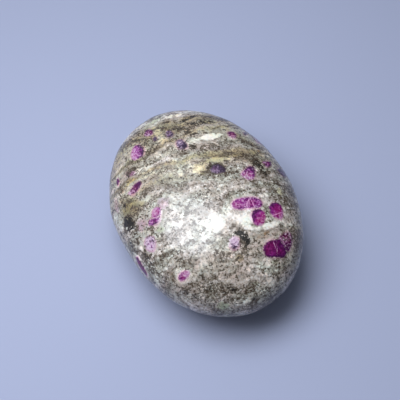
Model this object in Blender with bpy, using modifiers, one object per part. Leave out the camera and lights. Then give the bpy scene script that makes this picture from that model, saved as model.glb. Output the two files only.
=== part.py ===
"""Ruby in albite: one tumbled and polished stone, a flattened oval that fits the palm.

The rock and the ruby crystals in it grew together and were ground to one skin, so the stone is one solid.
Metres, +Z up. The origin is on the surface that the stone rests on, under its middle; +X runs along its length
and +Y across it. The stone is a soft form: a coarse cage, smoothed by subdivision, with a small flat spot cut
underneath.
"""

import bmesh
import bpy
from mathutils import Matrix, Vector

# Driving dimensions, in metres.
LENGTH = 0.0650  # along X, the longest extent
WIDTH = 0.0491  # along Y
FULL_HEIGHT = 0.0305  # along Z, before the resting spot is ground off
SPOT_DEPTH = 0.0003  # how much the resting spot takes off underneath

# How the form differs from a plain ellipsoid.
CROWN_FULLNESS = 0.08  # how far the upper shoulders bulge beyond an ellipse, as a part of their height
BASE_FULLNESS = 0.12  # the same for the lower side, which is a little flatter underneath
END_TAPER = 0.007  # the +X end is this much broader than the middle, and the -X end as much narrower

# The long -Y flank was ground a little hollow: direction from the middle, depth inwards, reach.
FLANK_HOLLOW_TOWARDS = Vector((0.15, -1.0, -0.05))
FLANK_HOLLOW_DEPTH = 0.00044
FLANK_HOLLOW_REACH = 0.33  # in units of the direction's length

CAGE_CUTS = 5  # cuts along each edge of the cube that the cage starts as
SMOOTHING_LEVELS = 2
CUTTER_SIZE = (0.040, 0.032, 0.006)  # the block that takes off the resting spot

# The rock's mean finish: grey-cream feldspar with brown mica, glossy.
ROCK_COLOUR = (0.46, 0.42, 0.36, 1.0)
ROCK_ROUGHNESS = 0.22
ROCK_METALLIC = 0.0


def clear_scene():
    """Removes whatever the opened file holds."""
    for item in list(bpy.data.objects):
        bpy.data.objects.remove(item, do_unlink=True)


def new_collection(name):
    """Returns a new collection, linked to the scene."""
    collection = bpy.data.collections.new(name)
    bpy.context.scene.collection.children.link(collection)
    return collection


def closeness(direction, towards):
    """Returns 1 where direction points towards a place on the skin, falling smoothly to 0 away from it."""
    distance = (direction - towards.normalized()).length / FLANK_HOLLOW_REACH
    return 2.0 ** (-distance * distance)


def skin_point(direction):
    """Returns the point where a unit direction from the stone's middle meets its ground skin."""
    across = 1.0 + END_TAPER * direction.x
    mean_fullness = (CROWN_FULLNESS + BASE_FULLNESS) / 2
    fullness_lean = (CROWN_FULLNESS - BASE_FULLNESS) / 2
    fullness = mean_fullness + fullness_lean * direction.z
    rise = 1.0 + fullness * (1.0 - direction.z**2)
    point = Vector(
        (
            LENGTH / 2 * direction.x,
            WIDTH / 2 * direction.y * across,
            FULL_HEIGHT / 2 * direction.z * rise,
        )
    )
    inwards = FLANK_HOLLOW_DEPTH * closeness(direction, FLANK_HOLLOW_TOWARDS)
    return point - direction * inwards


def make_cage(collection):
    """Builds the coarse cage of the stone around the origin: a divided cube drawn onto the ground skin."""
    mesh = bpy.data.meshes.new("palm_stone")
    cage = bmesh.new()
    bmesh.ops.create_cube(cage, size=2.0)
    bmesh.ops.subdivide_edges(cage, edges=cage.edges[:], cuts=CAGE_CUTS, use_grid_fill=True)
    for vert in cage.verts:
        vert.co = skin_point(vert.co.normalized())
    cage.to_mesh(mesh)
    cage.free()
    mesh.shade_smooth()
    stone = bpy.data.objects.new("palm_stone", mesh)
    collection.objects.link(stone)
    return stone


def add_smoothing(stone):
    """Adds the Subdivision Surface that rounds the cage into the stone."""
    smoothing = stone.modifiers.new("rounding", "SUBSURF")
    smoothing.levels = SMOOTHING_LEVELS
    smoothing.render_levels = SMOOTHING_LEVELS


def fit_to_size(stone):
    """Draws the cage outwards until the smoothed stone has exactly the driving dimensions, centred on the origin."""
    graph = bpy.context.evaluated_depsgraph_get()
    smoothed = stone.evaluated_get(graph)
    points = [vert.co for vert in smoothed.data.vertices]
    wanted = (LENGTH, WIDTH, FULL_HEIGHT)
    for axis, size in enumerate(wanted):
        low = min(point[axis] for point in points)
        high = max(point[axis] for point in points)
        for vert in stone.data.vertices:
            vert.co[axis] = (vert.co[axis] - (low + high) / 2) * size / (high - low)


def stand_on_spot(stone, cutters):
    """Raises the stone to stand at Z = 0 and cuts the small flat resting spot there."""
    stone.location.z = FULL_HEIGHT / 2 - SPOT_DEPTH
    bpy.ops.mesh.primitive_cube_add(size=1.0, location=(0.0, 0.0, -CUTTER_SIZE[2] / 2))
    cutter = bpy.context.active_object
    cutter.name = "resting_plane_cutter"
    cutter.data.transform(Matrix.Diagonal((*CUTTER_SIZE, 1.0)))
    for owner in list(cutter.users_collection):
        owner.objects.unlink(cutter)
    cutters.objects.link(cutter)
    cutter.hide_render = True
    cutter.display_type = "WIRE"
    cut = stone.modifiers.new("resting_spot", "BOOLEAN")
    cut.operation = "DIFFERENCE"
    cut.solver = "EXACT"
    cut.object = cutter


def rock_material():
    """Returns the polished rock's material."""
    material = bpy.data.materials.new("polished_rock")
    material.use_nodes = True
    shader = material.node_tree.nodes["Principled BSDF"]
    shader.inputs["Base Color"].default_value = ROCK_COLOUR
    shader.inputs["Roughness"].default_value = ROCK_ROUGHNESS
    shader.inputs["Metallic"].default_value = ROCK_METALLIC
    return material


def main():
    """Builds the stone."""
    clear_scene()
    parts = new_collection("ruby_in_albite")
    cutters = new_collection("cutters")
    stone = make_cage(parts)
    stone.data.materials.append(rock_material())
    add_smoothing(stone)
    fit_to_size(stone)
    stand_on_spot(stone, cutters)


main()
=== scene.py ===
"""Looks of one polished palm stone: magenta ruby crystals in banded albite with dark mica.

The stone's skin is a fine closed grid that follows the frame's solid. What can be seen of the rock in the
photograph, its rubies, lenses, mica and stains, is listed by picture pixels and cast onto the skin from the
photograph's camera; the hidden sides carry on the same banding with crystals scattered by a seeded draw.
The form and its markings are worked out in millimetres, because that is the scale of the rock's grain.
"""

import logging
import math
from dataclasses import dataclass
from enum import Enum
from typing import Any

import bmesh
import bpy
import numpy as np
from mathutils import Matrix, Vector
from mathutils.bvhtree import BVHTree


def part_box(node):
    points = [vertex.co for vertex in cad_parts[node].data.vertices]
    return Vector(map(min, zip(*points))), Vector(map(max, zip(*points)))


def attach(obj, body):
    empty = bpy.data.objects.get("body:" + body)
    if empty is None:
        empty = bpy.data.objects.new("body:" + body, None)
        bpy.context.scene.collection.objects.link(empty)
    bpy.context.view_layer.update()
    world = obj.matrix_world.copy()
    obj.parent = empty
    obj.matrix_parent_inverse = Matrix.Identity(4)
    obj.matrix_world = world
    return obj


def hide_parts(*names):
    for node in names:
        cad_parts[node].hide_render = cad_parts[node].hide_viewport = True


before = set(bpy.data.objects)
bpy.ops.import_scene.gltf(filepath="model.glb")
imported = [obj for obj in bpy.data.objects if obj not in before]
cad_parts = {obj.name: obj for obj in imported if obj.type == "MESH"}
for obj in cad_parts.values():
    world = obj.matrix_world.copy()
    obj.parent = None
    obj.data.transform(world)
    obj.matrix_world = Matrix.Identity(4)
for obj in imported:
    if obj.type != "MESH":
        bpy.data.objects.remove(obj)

LOG = logging.getLogger("ruby_in_albite")
MM = 0.001  # in metres
NODE = "palm_stone"
NEARLY_LEVEL = 1e-9  # stands in for the rise of a level edge, which nothing can be divided by

Pair = tuple[float, float]
Triple = tuple[float, float, float]
Pixel = Pair
Colour = Triple
Array = np.ndarray


def unit(vectors: Array) -> Array:
    """Returns vectors scaled to length 1 along their last axis."""
    return vectors / np.linalg.norm(vectors, axis=-1, keepdims=True)


def smooth_step(values: Array, low: float, high: float) -> Array:
    """Eases values from 0 at low to 1 at high.

    Args:
        values: Any numbers.
        low: Where the result is 0.
        high: Where the result is 1; it may be below low.

    Returns:
        Numbers from 0 to 1.
    """
    share = np.clip((values - low) / (high - low), 0.0, 1.0)
    return share * share * (3.0 - 2.0 * share)


def outline_distance(points: Array, outline: Array) -> Array:
    """Measures how far points in a plane are from a closed outline.

    Args:
        points: N places, two numbers each.
        outline: The outline's corners in order, two numbers each.

    Returns:
        N distances, negative inside the outline.
    """
    edge = np.roll(outline, -1, axis=0) - outline
    offset = points[:, None] - outline
    share = np.clip((offset * edge).sum(-1) / (edge**2).sum(-1), 0.0, 1.0)
    away = np.linalg.norm(offset - share[..., None] * edge, axis=-1).min(axis=1)
    rise = np.where(edge[:, 1] == 0.0, NEARLY_LEVEL, edge[:, 1])
    crosses = (offset[..., 1] < 0.0) != (offset[..., 1] - edge[:, 1] < 0.0)
    to_right = offset[..., 0] < offset[..., 1] * edge[:, 0] / rise
    inside = (crosses & to_right).sum(axis=1) % 2 == 1
    return np.where(inside, -away, away)


def path_distance(points: Array, path: Array) -> tuple[Array, Array]:
    """Measures where points are beside a chain of straight runs.

    Args:
        points: N places in space.
        path: The chain's corners; a single one is a spot.

    Returns:
        N distances, and how far along the chain its nearest place is, from -1 at its start to 1 at its end.
    """
    nearest = np.linalg.norm(points - path[0], axis=1)
    along = np.zeros(len(points)) if len(path) == 1 else np.full(len(points), -1.0)
    runs = len(path) - 1
    for number, (start, end) in enumerate(zip(path[:-1], path[1:])):
        run = end - start
        share = np.clip((points - start) @ run / (run @ run), 0.0, 1.0)
        distance = np.linalg.norm(points - start - share[:, None] * run, axis=1)
        closer = distance < nearest
        nearest = np.where(closer, distance, nearest)
        along = np.where(closer, 2.0 * (number + share) / runs - 1.0, along)
    return nearest, along


class RubyTone(Enum):
    """The ruby colours in the rock, each as (darkness, violet share, paleness)."""

    CARMINE = (0.30, 0.16, 0.16)
    MAGENTA = (0.36, 0.38, 0.26)
    ORCHID = (0.26, 0.24, 0.28)
    PLUM = (0.72, 0.15, 0.07)
    MAROON = (0.70, 0.08, 0.26)
    VIOLET = (0.60, 0.95, 0.12)
    MAUVE = (0.50, 0.85, 0.45)
    ROSE = (0.15, 0.12, 0.40)
    LILAC = (0.25, 0.70, 0.68)


class Mineral(Enum):
    """What the rock between the rubies holds, each with its attribute and the channel in it; mica and smoke
    along the rim are also painted shade.
    """

    FELDSPAR = ("pale_minerals", 0)
    CREAM = ("pale_minerals", 1)
    HAZE = ("pale_minerals", 2)
    MICA = ("dark_minerals", 0)
    OLIVE = ("dark_minerals", 1)
    RUST = ("dark_minerals", 2)
    CHLORITE = ("tinted_minerals", 0)
    OCHRE = ("tinted_minerals", 1)
    BLUSH = ("tinted_minerals", 2)
    SMOKE = ("smooth_minerals", 0)


@dataclass(frozen=True)
class Crystal:
    """One ruby that the photograph shows."""

    place: str  # where it sits in the picture
    tone: RubyTone  # which ruby colour it has
    outline: tuple[Pixel, ...]  # its corners, in picture pixels
    shade: Pixel = (0.0, 0.0)  # towards its darker side in the picture; the length is how much it darkens
    halo: float = 0.5  # how strong the pale feldspar rim around it is
    mottle: float = 0.2  # how patchy its colour is
    blur: float = 0.18  # how wide its edge is mixed with the rock, in millimetres
    partings: tuple[tuple[Pixel, Pixel], ...] = ()  # pale cracks in it, by the pixels of their ends


@dataclass(frozen=True)
class Streak:
    """A streak or spot of a mineral that the photograph shows."""

    path: tuple[Pixel, ...]  # the pixels it runs through; one pixel is a spot
    width: float  # across it, in millimetres
    strength: float = 1.0  # how much of the mineral is there
    fade: float = 1.2  # over how many millimetres it thins out


@dataclass(frozen=True)
class Band:
    """A layer of the rock that runs right through the stone."""

    mineral: Mineral  # what it is rich in
    across: float  # its place across the layers, in millimetres from the stone's middle
    width: float  # how thick it is, in millimetres
    strength: float  # how much of the mineral is there


CRYSTALS = (
    Crystal(
        "upper left",
        RubyTone.MAGENTA,
        ((131.5, 154), (133, 149), (135, 146), (139, 144.5), (143.5, 147), (145, 151), (143.5, 155.5),
         (139.5, 158), (135.5, 160), (132, 159)),
        shade=(0.9, -0.5), halo=0.5, mottle=0.6, blur=0.22,
    ),
    Crystal(
        "upper left rim, maroon",
        RubyTone.MAROON,
        ((144, 135), (146, 130), (149.5, 129), (152.5, 130.5), (153, 133), (151, 135.5), (147, 136)),
        shade=(0.0, -0.3), halo=0.1, mottle=0.6, blur=0.3,
    ),
    Crystal(
        "upper left, small dark",
        RubyTone.VIOLET,
        ((153, 138), (155, 136.8), (157.5, 138), (157, 140.5), (154, 140.8)),
        halo=0.2, blur=0.25,
    ),
    Crystal(
        "top, mauve grey",
        RubyTone.VIOLET,
        ((165.5, 134.5), (167, 130.5), (170, 130), (173, 132.5), (173.5, 135.5), (170.5, 137.5),
         (167, 137.5)),
        shade=(0.2, 0.1), halo=0.15, mottle=0.9, blur=0.35,
    ),
    Crystal(
        "top middle, violet",
        RubyTone.VIOLET,
        ((176, 144), (177, 140.5), (181, 139.5), (184.5, 141.5), (187, 144.5), (187.5, 147),
         (183.5, 149.5), (178.5, 149)),
        shade=(0.4, 0.15), halo=0.25, mottle=0.7, blur=0.3,
    ),
    Crystal(
        "left, above the ochre streak",
        RubyTone.MAROON,
        ((126.5, 173), (129.5, 171), (134, 171.5), (135, 174), (131.5, 176), (128, 176)),
        halo=0.1, mottle=1.0, blur=0.7,
    ),
    Crystal(
        "left, by the ochre streak",
        RubyTone.MAROON,
        ((135.5, 183.5), (139.5, 181), (141.5, 183.5), (140, 187.5), (137, 191), (133.5, 193.5),
         (130.5, 194.5), (128.5, 193.5), (130.5, 190.5), (132.5, 187.5)),
        shade=(0.5, -0.5), halo=0.5, mottle=0.5, blur=0.25,
    ),
    Crystal(
        "left rim",
        RubyTone.PLUM,
        ((117, 179.5), (118.5, 178.5), (119.5, 181.5), (118.5, 185.5), (117, 183.5)),
        halo=0.5, blur=0.2,
    ),
    Crystal(
        "top right, dark magenta",
        RubyTone.MAROON,
        ((227.5, 133), (229.5, 131.5), (233.5, 132), (236.5, 135), (235.5, 138.5), (232, 138), (229, 136)),
        shade=(-0.3, -0.2), halo=0.35, mottle=0.5, blur=0.2,
    ),
    Crystal(
        "top right rim, upper",
        RubyTone.VIOLET,
        ((243, 133), (246, 132), (247.5, 134.5), (244.5, 135.5)),
        halo=0.2, mottle=0.6, blur=0.3,
    ),
    Crystal(
        "top right rim, lower",
        RubyTone.MAUVE,
        ((253.5, 138), (256, 137), (261, 142), (261.5, 144.5), (257, 143)),
        halo=0.2, mottle=0.6, blur=0.3,
    ),
    Crystal(
        "middle, violet with mica",
        RubyTone.VIOLET,
        ((210.5, 169.5), (212.5, 165.5), (217.5, 164), (222, 165.5), (225.5, 168.5), (225, 172),
         (221, 172.5), (216.5, 173.5), (212.5, 172.5)),
        shade=(0.4, -0.3), halo=0.0, mottle=0.62, blur=0.32,
    ),
    Crystal(
        "right, magenta into lilac",
        RubyTone.MAGENTA,
        ((246, 168.5), (249.5, 166), (253.5, 166.5), (255.5, 170.5), (255, 174.5), (253.5, 178.5),
         (249, 179.5), (244, 177.5), (241, 174.5), (243, 171.5)),
        shade=(0.5, -0.6), halo=0.5, mottle=0.7, blur=0.25,
    ),
    Crystal(
        "right, maroon",
        RubyTone.PLUM,
        ((262.5, 162), (266.5, 161), (270.5, 162), (271, 165.5), (267.5, 167.5), (264.5, 165.5)),
        halo=0.3, mottle=0.9, blur=0.25,
    ),
    Crystal(
        "right rim streak",
        RubyTone.VIOLET,
        ((277, 170), (280.5, 168.5), (286.5, 174.5), (284.5, 177.5), (280.5, 174.5)),
        halo=0.2, mottle=0.5, blur=0.25,
    ),
    Crystal(
        "long arched, right of the middle",
        RubyTone.ORCHID,
        ((231.5, 204.5), (233, 201), (237, 198.9), (242, 197.8), (249, 197.1), (255, 197.4),
         (259.5, 199.2), (262.4, 202.6), (261.6, 206), (257.5, 207.6), (250, 208.2), (241, 209.2),
         (234, 208.6)),
        shade=(0.1, -0.1), halo=0.5, mottle=0.6, blur=0.22,
        partings=(((246, 206.5), (249, 199)), ((250.6, 199), (254.2, 206.5))),
    ),
    Crystal(
        "oval under the arched one",
        RubyTone.CARMINE,
        ((251.2, 215), (253, 211), (257, 209.2), (261.8, 209.8), (264.8, 213), (265.3, 217.5), (264, 222),
         (261, 225.3), (256.8, 225.2), (253.6, 222.6), (251.8, 219)),
        shade=(-0.5, -0.4), halo=0.45, mottle=0.5, blur=0.2,
    ),
    Crystal(
        "round",
        RubyTone.CARMINE,
        ((269.1, 207.5), (271, 204), (274.8, 202.4), (278.6, 203.4), (281.6, 206.8), (282.9, 211.5),
         (283, 216), (281, 219.4), (277.5, 218.4), (273, 216), (270, 212)),
        shade=(-0.25, -0.35), halo=0.4, mottle=0.4,
        partings=(((272, 215.8), (283, 212)),),
    ),
    Crystal(
        "largest, main piece",
        RubyTone.PLUM,
        ((263.4, 249.5), (264.4, 245), (267.3, 241.8), (270.5, 240), (275, 239.6), (279.2, 238.8),
         (282.5, 243.3), (285.4, 248.3), (286.6, 253), (284.8, 257), (279.5, 257.8), (273, 257.4),
         (267.5, 257), (264.7, 254.3)),
        shade=(0.2, 0.2), halo=0.25, mottle=0.15,
        partings=(((273.4, 242), (275.4, 247)), ((277, 248.5), (277, 252))),
    ),
    Crystal(
        "largest, right piece",
        RubyTone.MAROON,
        ((279, 238.8), (280.6, 235.2), (284, 233), (288.5, 232), (291.2, 234.2), (292.5, 239.5),
         (291.4, 245.5), (289.6, 250.8), (286.2, 252), (282.3, 243.3)),
        shade=(0.0, 0.3), halo=0.3, mottle=1.0, blur=0.3,
        partings=(((280.7, 237.8), (284.2, 244)),),
    ),
    Crystal(
        "left of the highlight, upper piece",
        RubyTone.ROSE,
        ((153, 210.3), (156, 207.6), (160, 207.8), (161, 212), (160.4, 215.2), (155, 218.3), (152, 217),
         (152.2, 213)),
        shade=(0.35, 0.1), halo=0.6, mottle=0.25,
        partings=(((152.5, 218.4), (160.4, 216)),),
    ),
    Crystal(
        "left of the highlight, lower piece",
        RubyTone.MAGENTA,
        ((148.6, 223.8), (149, 220.6), (153, 218.8), (160.2, 216.4), (160, 221), (157, 224), (152, 226),
         (149, 225.2)),
        shade=(-0.3, 0.2), halo=0.5, mottle=0.75, blur=0.2,
        partings=(((152.5, 218.4), (160.4, 216)),),
    ),
    Crystal(
        "lower left, lilac",
        RubyTone.LILAC,
        ((146, 238.5), (149.5, 235.5), (153.5, 237), (155.5, 241.5), (155.5, 247), (153.5, 251),
         (149.5, 251), (146.5, 248.5), (144.5, 244)),
        shade=(0.0, -0.45), halo=0.5, mottle=0.9, blur=0.45,
    ),
    Crystal(
        "left rim, dark slab",
        RubyTone.PLUM,
        ((136, 257.5), (138, 257), (140.5, 262), (143.5, 266.5), (146, 271), (147.5, 274.5), (146.5, 276),
         (143.5, 272), (140, 267), (137.5, 262)),
        halo=0.8, mottle=0.25, blur=0.16,
    ),
    Crystal(
        "bottom left, rosy",
        RubyTone.ROSE,
        ((178.5, 276), (181.5, 272.5), (185.5, 271), (188.5, 271.5), (189, 274), (187.5, 277),
         (183.5, 280.5), (180.5, 281), (178.5, 279)),
        shade=(-0.2, 0.2), halo=1.0, mottle=0.4, blur=0.2,
    ),
    Crystal(
        "centre, pale lilac",
        RubyTone.LILAC,
        ((230, 240), (233.5, 237), (237.5, 237.5), (240, 240), (239.5, 245.5), (237, 249.5), (233.5, 250),
         (230, 247)),
        shade=(0.0, 0.5), halo=0.3, mottle=1.0, blur=0.6,
    ),
)

# For each mineral, what makes up each of its streaks: path, width, strength and fade.
STREAK_ROWS = {
    Mineral.FELDSPAR: (
        # Along the rim.
        (((135.5, 254.5), (139.5, 257.5), (143.5, 262)), 0.9), (((243, 302), (251, 300.5)), 1.0, 0.7),
        (((232, 302), (246, 300)), 3.0, 0.35, 3.0),
        (((158, 120), (172, 116.5), (187, 113)), 2.0, 0.5, 1.8),
        # At the upper end.
        (((198, 139.5), (204, 138), (212, 136.2), (221, 135)), 2.5, 1.0, 1.0),
        (((159, 135), (165, 146)), 4.0, 0.3, 3.0),
        # Level with the stained seam.
        (((155, 156.5), (165, 155.5)), 1.8, 0.35, 1.5), (((228, 158), (236, 160)), 2.2, 0.5, 2.0),
        (((188, 171.5), (200, 168)), 3.2, 0.5, 2.5), (((172, 182), (180, 181)), 4.0, 0.3, 3.0),
        (((270, 182), (278, 183)), 4.0, 0.3, 3.0),
        # Across the middle.
        (((203, 234), (214, 225), (226, 218), (240, 216)), 4.6, 0.75, 2.6),
        (((236, 216), (245, 220), (250, 229)), 3.6, 1.0, 2.2), (((203, 222), (204, 240)), 4.0, 0.5, 2.4),
        (((258, 229.5), (270, 225), (284, 221.5)), 1.5, 0.85), (((262, 196.5), (268, 195)), 1.2, 0.8),
        (((170, 222), (185, 212)), 5.0, 0.45, 3.0), (((232, 193), (250, 190)), 3.0, 0.35, 2.5),
        (((158, 206), (168, 204)), 4.0, 0.3, 3.0), (((222, 212), (231, 207)), 3.0, 0.6, 2.5),
        (((222, 233), (234, 229)), 3.0, 0.5, 2.5), (((284, 228), (292, 225)), 2.5, 0.5, 2.0),
        # Below the middle.
        (((141, 246), (142, 250)), 0.9), (((180, 266), (190, 270)), 3.0, 0.3, 2.5),
        (((246, 266), (264, 269), (278, 265)), 5.0, 0.5, 4.0), (((200, 266), (208, 266)), 4.0, 0.3, 3.0),
        # At the lower end.
        (((204, 297.5), (206, 297.5)), 1.0, 0.7), (((266, 280), (276, 279)), 4.0, 0.4, 3.0),
        (((252, 287), (266, 290)), 4.0, 0.25, 3.5), (((272, 266), (280, 278)), 4.0, 0.35, 3.0),
        (((216, 291), (223, 290)), 2.5, 0.4, 2.0),
    ),
    Mineral.CREAM: (
        # Along the rim.
        (((166, 118), (174, 115.5), (182, 114)), 1.2, 0.5, 1.2), (((280, 191.5),), 2.2, 0.6, 1.0),
        # At the upper end.
        (((158.6, 134),), 1.7, 0.9), (((163, 141),), 1.8, 0.8, 1.2),
        # Level with the stained seam.
        (((200, 163), (210, 160.5), (220, 159.3), (230, 159)), 1.7, 1.0, 1.4),
        (((205, 165), (193, 171)), 3.2, 1.0, 1.8), (((132, 180.5), (139, 177)), 1.0, 0.7),
        # Across the middle.
        (((286, 228.5), (295, 228), (303, 228)), 1.1, 0.5),
    ),
    Mineral.HAZE: (
        # Along the rim.
        # The second streak is lilac haze at the left rim and partly a painted reflection of the pale blue
        # floor there.
        (((130, 153), (131, 157)), 0.8, 0.6, 0.8), (((115.5, 200), (118, 212)), 2.5, 0.6, 1.5),
        # Across the middle.
        (((158, 208), (165, 202), (168, 199)), 3.0, 1.0, 1.8),
        (((137, 230), (141, 226), (146, 221)), 2.8, 0.9, 1.8), (((131, 196), (136, 193)), 1.6, 0.7, 1.2),
    ),
    Mineral.MICA: (
        # Along the rim.
        (((160, 124.5), (169, 121.5)), 1.1, 0.7, 1.0), (((126, 148), (132, 143)), 1.6, 0.5, 1.2),
        (((179.5, 121.5), (187, 119), (198, 114.5)), 1.8, 0.85, 1.4),
        (((198.5, 122.5), (217.5, 122)), 1.2, 0.75, 1.0),
        (((140, 131.5), (153.5, 130), (160, 128)), 1.4, 0.55, 1.2), (((127, 233),), 0.8),
        (((134.5, 241),), 0.9), (((181, 290.5), (190, 294), (197, 299)), 1.6, 0.7),
        (((195, 296),), 2.6, 0.4, 1.5), (((251, 299), (257.5, 299)), 1.4, 0.8),
        (((186, 124), (198, 123), (212, 121)), 3.6, 0.8, 2.5), (((119.5, 194), (123, 191)), 1.0, 0.8),
        # Painted shade: these two mica streaks darken the right rim and the lower end, where the light falls
        # off.
        (((281, 171), (290, 190.5), (297, 213), (299.5, 238), (295.5, 264)), 3.0, 0.45, 2.5),
        (((295.5, 264), (282, 289), (260, 306.5), (233, 313)), 3.0, 0.35, 2.5),
        (((237, 138), (247, 143), (257, 151)), 2.5, 0.5, 2.0),
        (((127, 236), (132, 247), (138, 256)), 2.6, 0.75, 2.2),
        (((149, 130.5), (160, 128), (168, 123.5)), 0.9, 0.9), (((180, 122), (186, 121)), 1.3, 1.0),
        (((188, 116.3), (198, 116)), 1.2, 0.9), (((197, 125), (204, 123)), 1.2, 1.0),
        (((124.5, 157), (127, 161)), 0.9, 0.9), (((120.5, 232), (127, 246), (134, 257)), 2.0, 0.45, 1.5),
        (((156, 276), (166, 283)), 4.0, 0.5, 3.0), (((200, 302), (213, 305)), 3.0, 0.4, 2.5),
        (((286, 200), (292, 214)), 3.0, 0.5, 2.5),
        # At the upper end.
        (((172, 128.5), (191, 127.5), (203, 130)), 1.8, 0.5, 1.4),
        (((226, 150), (240, 147)), 1.8, 0.35, 1.6), (((221, 147),), 0.6),
        (((182, 131), (192, 133.5), (199, 134)), 2.6, 0.7, 2.0),
        (((139, 141), (146, 146), (153, 150)), 4.0, 0.6, 3.0),
        (((170, 148), (178, 151), (188, 150)), 2.5, 0.45, 2.0), (((198, 130), (210, 132)), 2.5, 0.4, 2.0),
        (((130, 142), (146, 138), (153, 139)), 0.9, 0.9),
        (((170, 130), (182, 128), (190, 130)), 1.6, 0.7, 1.3), (((187, 145), (198, 147)), 2.4, 0.7, 1.8),
        # Level with the stained seam.
        (((242, 156), (252, 155), (264, 157)), 2.0, 0.4, 1.6), (((192, 151), (208, 150)), 1.8, 0.35, 1.6),
        (((209.5, 173.5), (208, 168), (213, 164.5), (221, 164), (226, 169)), 1.2, 0.8, 1.0),
        (((237.5, 172),), 0.6), (((203, 169), (210, 173), (226, 173)), 3.0, 0.55, 2.5),
        (((253, 157), (261, 168), (268, 177)), 4.0, 0.85, 3.0),
        (((137, 172.7), (151.5, 167), (162.5, 161.3), (174, 157)), 1.5, 0.35, 1.2),
        (((126, 176), (131, 171), (137, 167)), 2.4, 0.6, 1.8),
        (((152, 171), (162, 171), (176, 168)), 3.0, 0.35, 2.5), (((224, 168), (234, 175)), 3.0, 0.5, 2.5),
        (((126, 173.5), (130, 179)), 1.1, 0.9),
        # Across the middle.
        (((123, 219), (130, 225), (136, 229)), 4.6, 1.0, 3.0), (((161, 229),), 0.7),
        (((271, 188), (282, 199)), 0.6, 0.7), (((147, 222), (147, 229), (151, 229.5)), 0.4, 0.8),
        (((196, 194), (207, 199), (220, 203)), 4.0, 0.4, 3.0),
        (((134, 228), (148, 232), (164, 236)), 5.0, 0.45, 4.0), (((190, 195), (218, 195)), 4.0, 0.5, 3.0),
        (((142, 207), (151, 204)), 3.0, 0.4, 2.5), (((145, 196.5), (148, 192.5)), 0.8, 0.8),
        (((124, 204), (125, 208)), 1.0, 1.0), (((138, 229), (144, 223)), 2.2, 0.4, 2.0),
        (((118, 192), (126, 196)), 3.0, 0.35, 2.5),
        # Below the middle.
        (((234, 232.5), (240, 232.8), (245, 237), (248, 241), (246, 247)), 2.1, 1.15, 1.3),
        (((145, 247),), 0.6), (((150.5, 255.5),), 0.9), (((166, 242),), 0.8, 0.8),
        (((157.5, 254.5), (161, 250), (166, 245)), 0.7, 0.7), (((239.5, 257.5),), 1.4, 0.6),
        (((209.5, 257.5),), 0.8), (((258.3, 249),), 0.6), (((259, 243),), 0.6), (((253.6, 238),), 0.6),
        (((256, 263.5),), 0.7), (((252, 255.5),), 0.6),
        (((131, 226), (135, 235), (138, 245)), 2.6, 0.6, 2.0),
        (((166, 251), (182, 254), (196, 255)), 4.0, 0.5, 3.0), (((212, 252), (224, 256)), 4.0, 0.4, 3.0),
        (((200, 264), (207, 268)), 3.0, 0.5, 2.5), (((215, 256), (232, 257), (248, 258)), 4.0, 0.35, 3.0),
        (((240, 240), (247, 244), (246, 252)), 4.0, 0.6, 2.5),
        (((145, 252), (149, 262), (154, 272)), 4.0, 0.8, 3.0),
        # At the lower end.
        (((230, 290), (239, 289)), 1.5, 0.9), (((202, 276.5),), 1.4, 0.7), (((218, 285.7),), 0.8),
        (((209, 291), (213, 291)), 0.8), (((232, 300),), 1.0), (((170, 278), (178, 277)), 3.0, 0.5, 2.5),
        (((180, 283), (198, 287), (206, 297)), 4.0, 0.25, 3.0),
        (((184, 280), (206, 285), (210, 302)), 5.0, 0.5, 4.0),
        (((175, 285), (190, 293), (200, 297)), 5.0, 0.5, 4.0),
        (((202, 290), (220, 290), (238, 289)), 4.0, 0.7, 3.0),
    ),
    Mineral.OLIVE: (
        # Along the rim.
        (((179, 121.5), (188, 118), (198, 115.5)), 2.4, 1.0, 1.6),
        (((198.5, 122.5), (217.5, 122)), 1.6, 1.0, 1.0),
        (((225, 128), (245, 140), (262, 150)), 3.0, 0.5, 3.0),
        (((186, 121), (200, 118), (218, 122)), 3.0, 0.6, 2.5),
        # At the upper end.
        (((140, 131), (156, 129), (177, 129), (200, 129)), 2.0, 0.7, 1.8),
        # Level with the stained seam.
        (((195, 156), (215, 155), (238, 154), (250, 152), (264, 153)), 3.4, 0.9, 2.4),
        (((203.5, 173),), 1.4, 0.9),
        # Across the middle.
        (((122, 216), (130, 209), (142, 204)), 5.5, 0.8, 4.0), (((232, 225), (239, 222)), 1.4, 0.3, 0.8),
        # Below the middle.
        (((239.5, 257.5),), 2.0, 0.8, 0.9),
    ),
    Mineral.RUST: (
        # Along the rim.
        (((161, 123.5), (169, 121)), 1.2, 0.6, 1.0), (((126, 148), (131, 143)), 1.6, 0.7, 1.2),
        (((259, 151),), 1.0, 0.7),
        # At the upper end.
        (((225.5, 137),), 0.7, 0.8),
        # Across the middle.
        (((121, 193), (124, 189)), 0.9, 0.9), (((263.5, 235), (268.5, 231)), 0.7, 0.9),
        # Below the middle.
        (((255, 237), (268, 236)), 1.6, 0.4),
        # At the lower end.
        (((171.5, 269.5), (173, 281)), 0.8, 0.8),
    ),
    Mineral.CHLORITE: (
        # Along the rim.
        (((138, 133), (148, 125), (160, 118)), 2.5, 0.6, 2.0), (((217, 307), (228, 305)), 2.8, 1.0, 0.9),
        # Level with the stained seam.
        (((151, 180), (161, 177)), 2.2, 0.5, 1.5),
        # Across the middle.
        (((157.5, 230.5), (165, 229)), 1.4, 0.8),
        # Below the middle.
        (((271.5, 262.5), (277.5, 262.5)), 1.1, 0.7),
        # At the lower end.
        (((249, 283), (259, 283)), 1.3, 0.6),
    ),
    Mineral.OCHRE: (
        # Along the rim.
        (((215.5, 124),), 0.8, 0.7),
        # Level with the stained seam.
        (((123.5, 190), (130.5, 181.5), (139, 177.5)), 1.1, 0.9),
        (((196, 168), (206, 161.5), (222, 160)), 2.0, 0.2, 1.2),
        # Across the middle.
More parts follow.
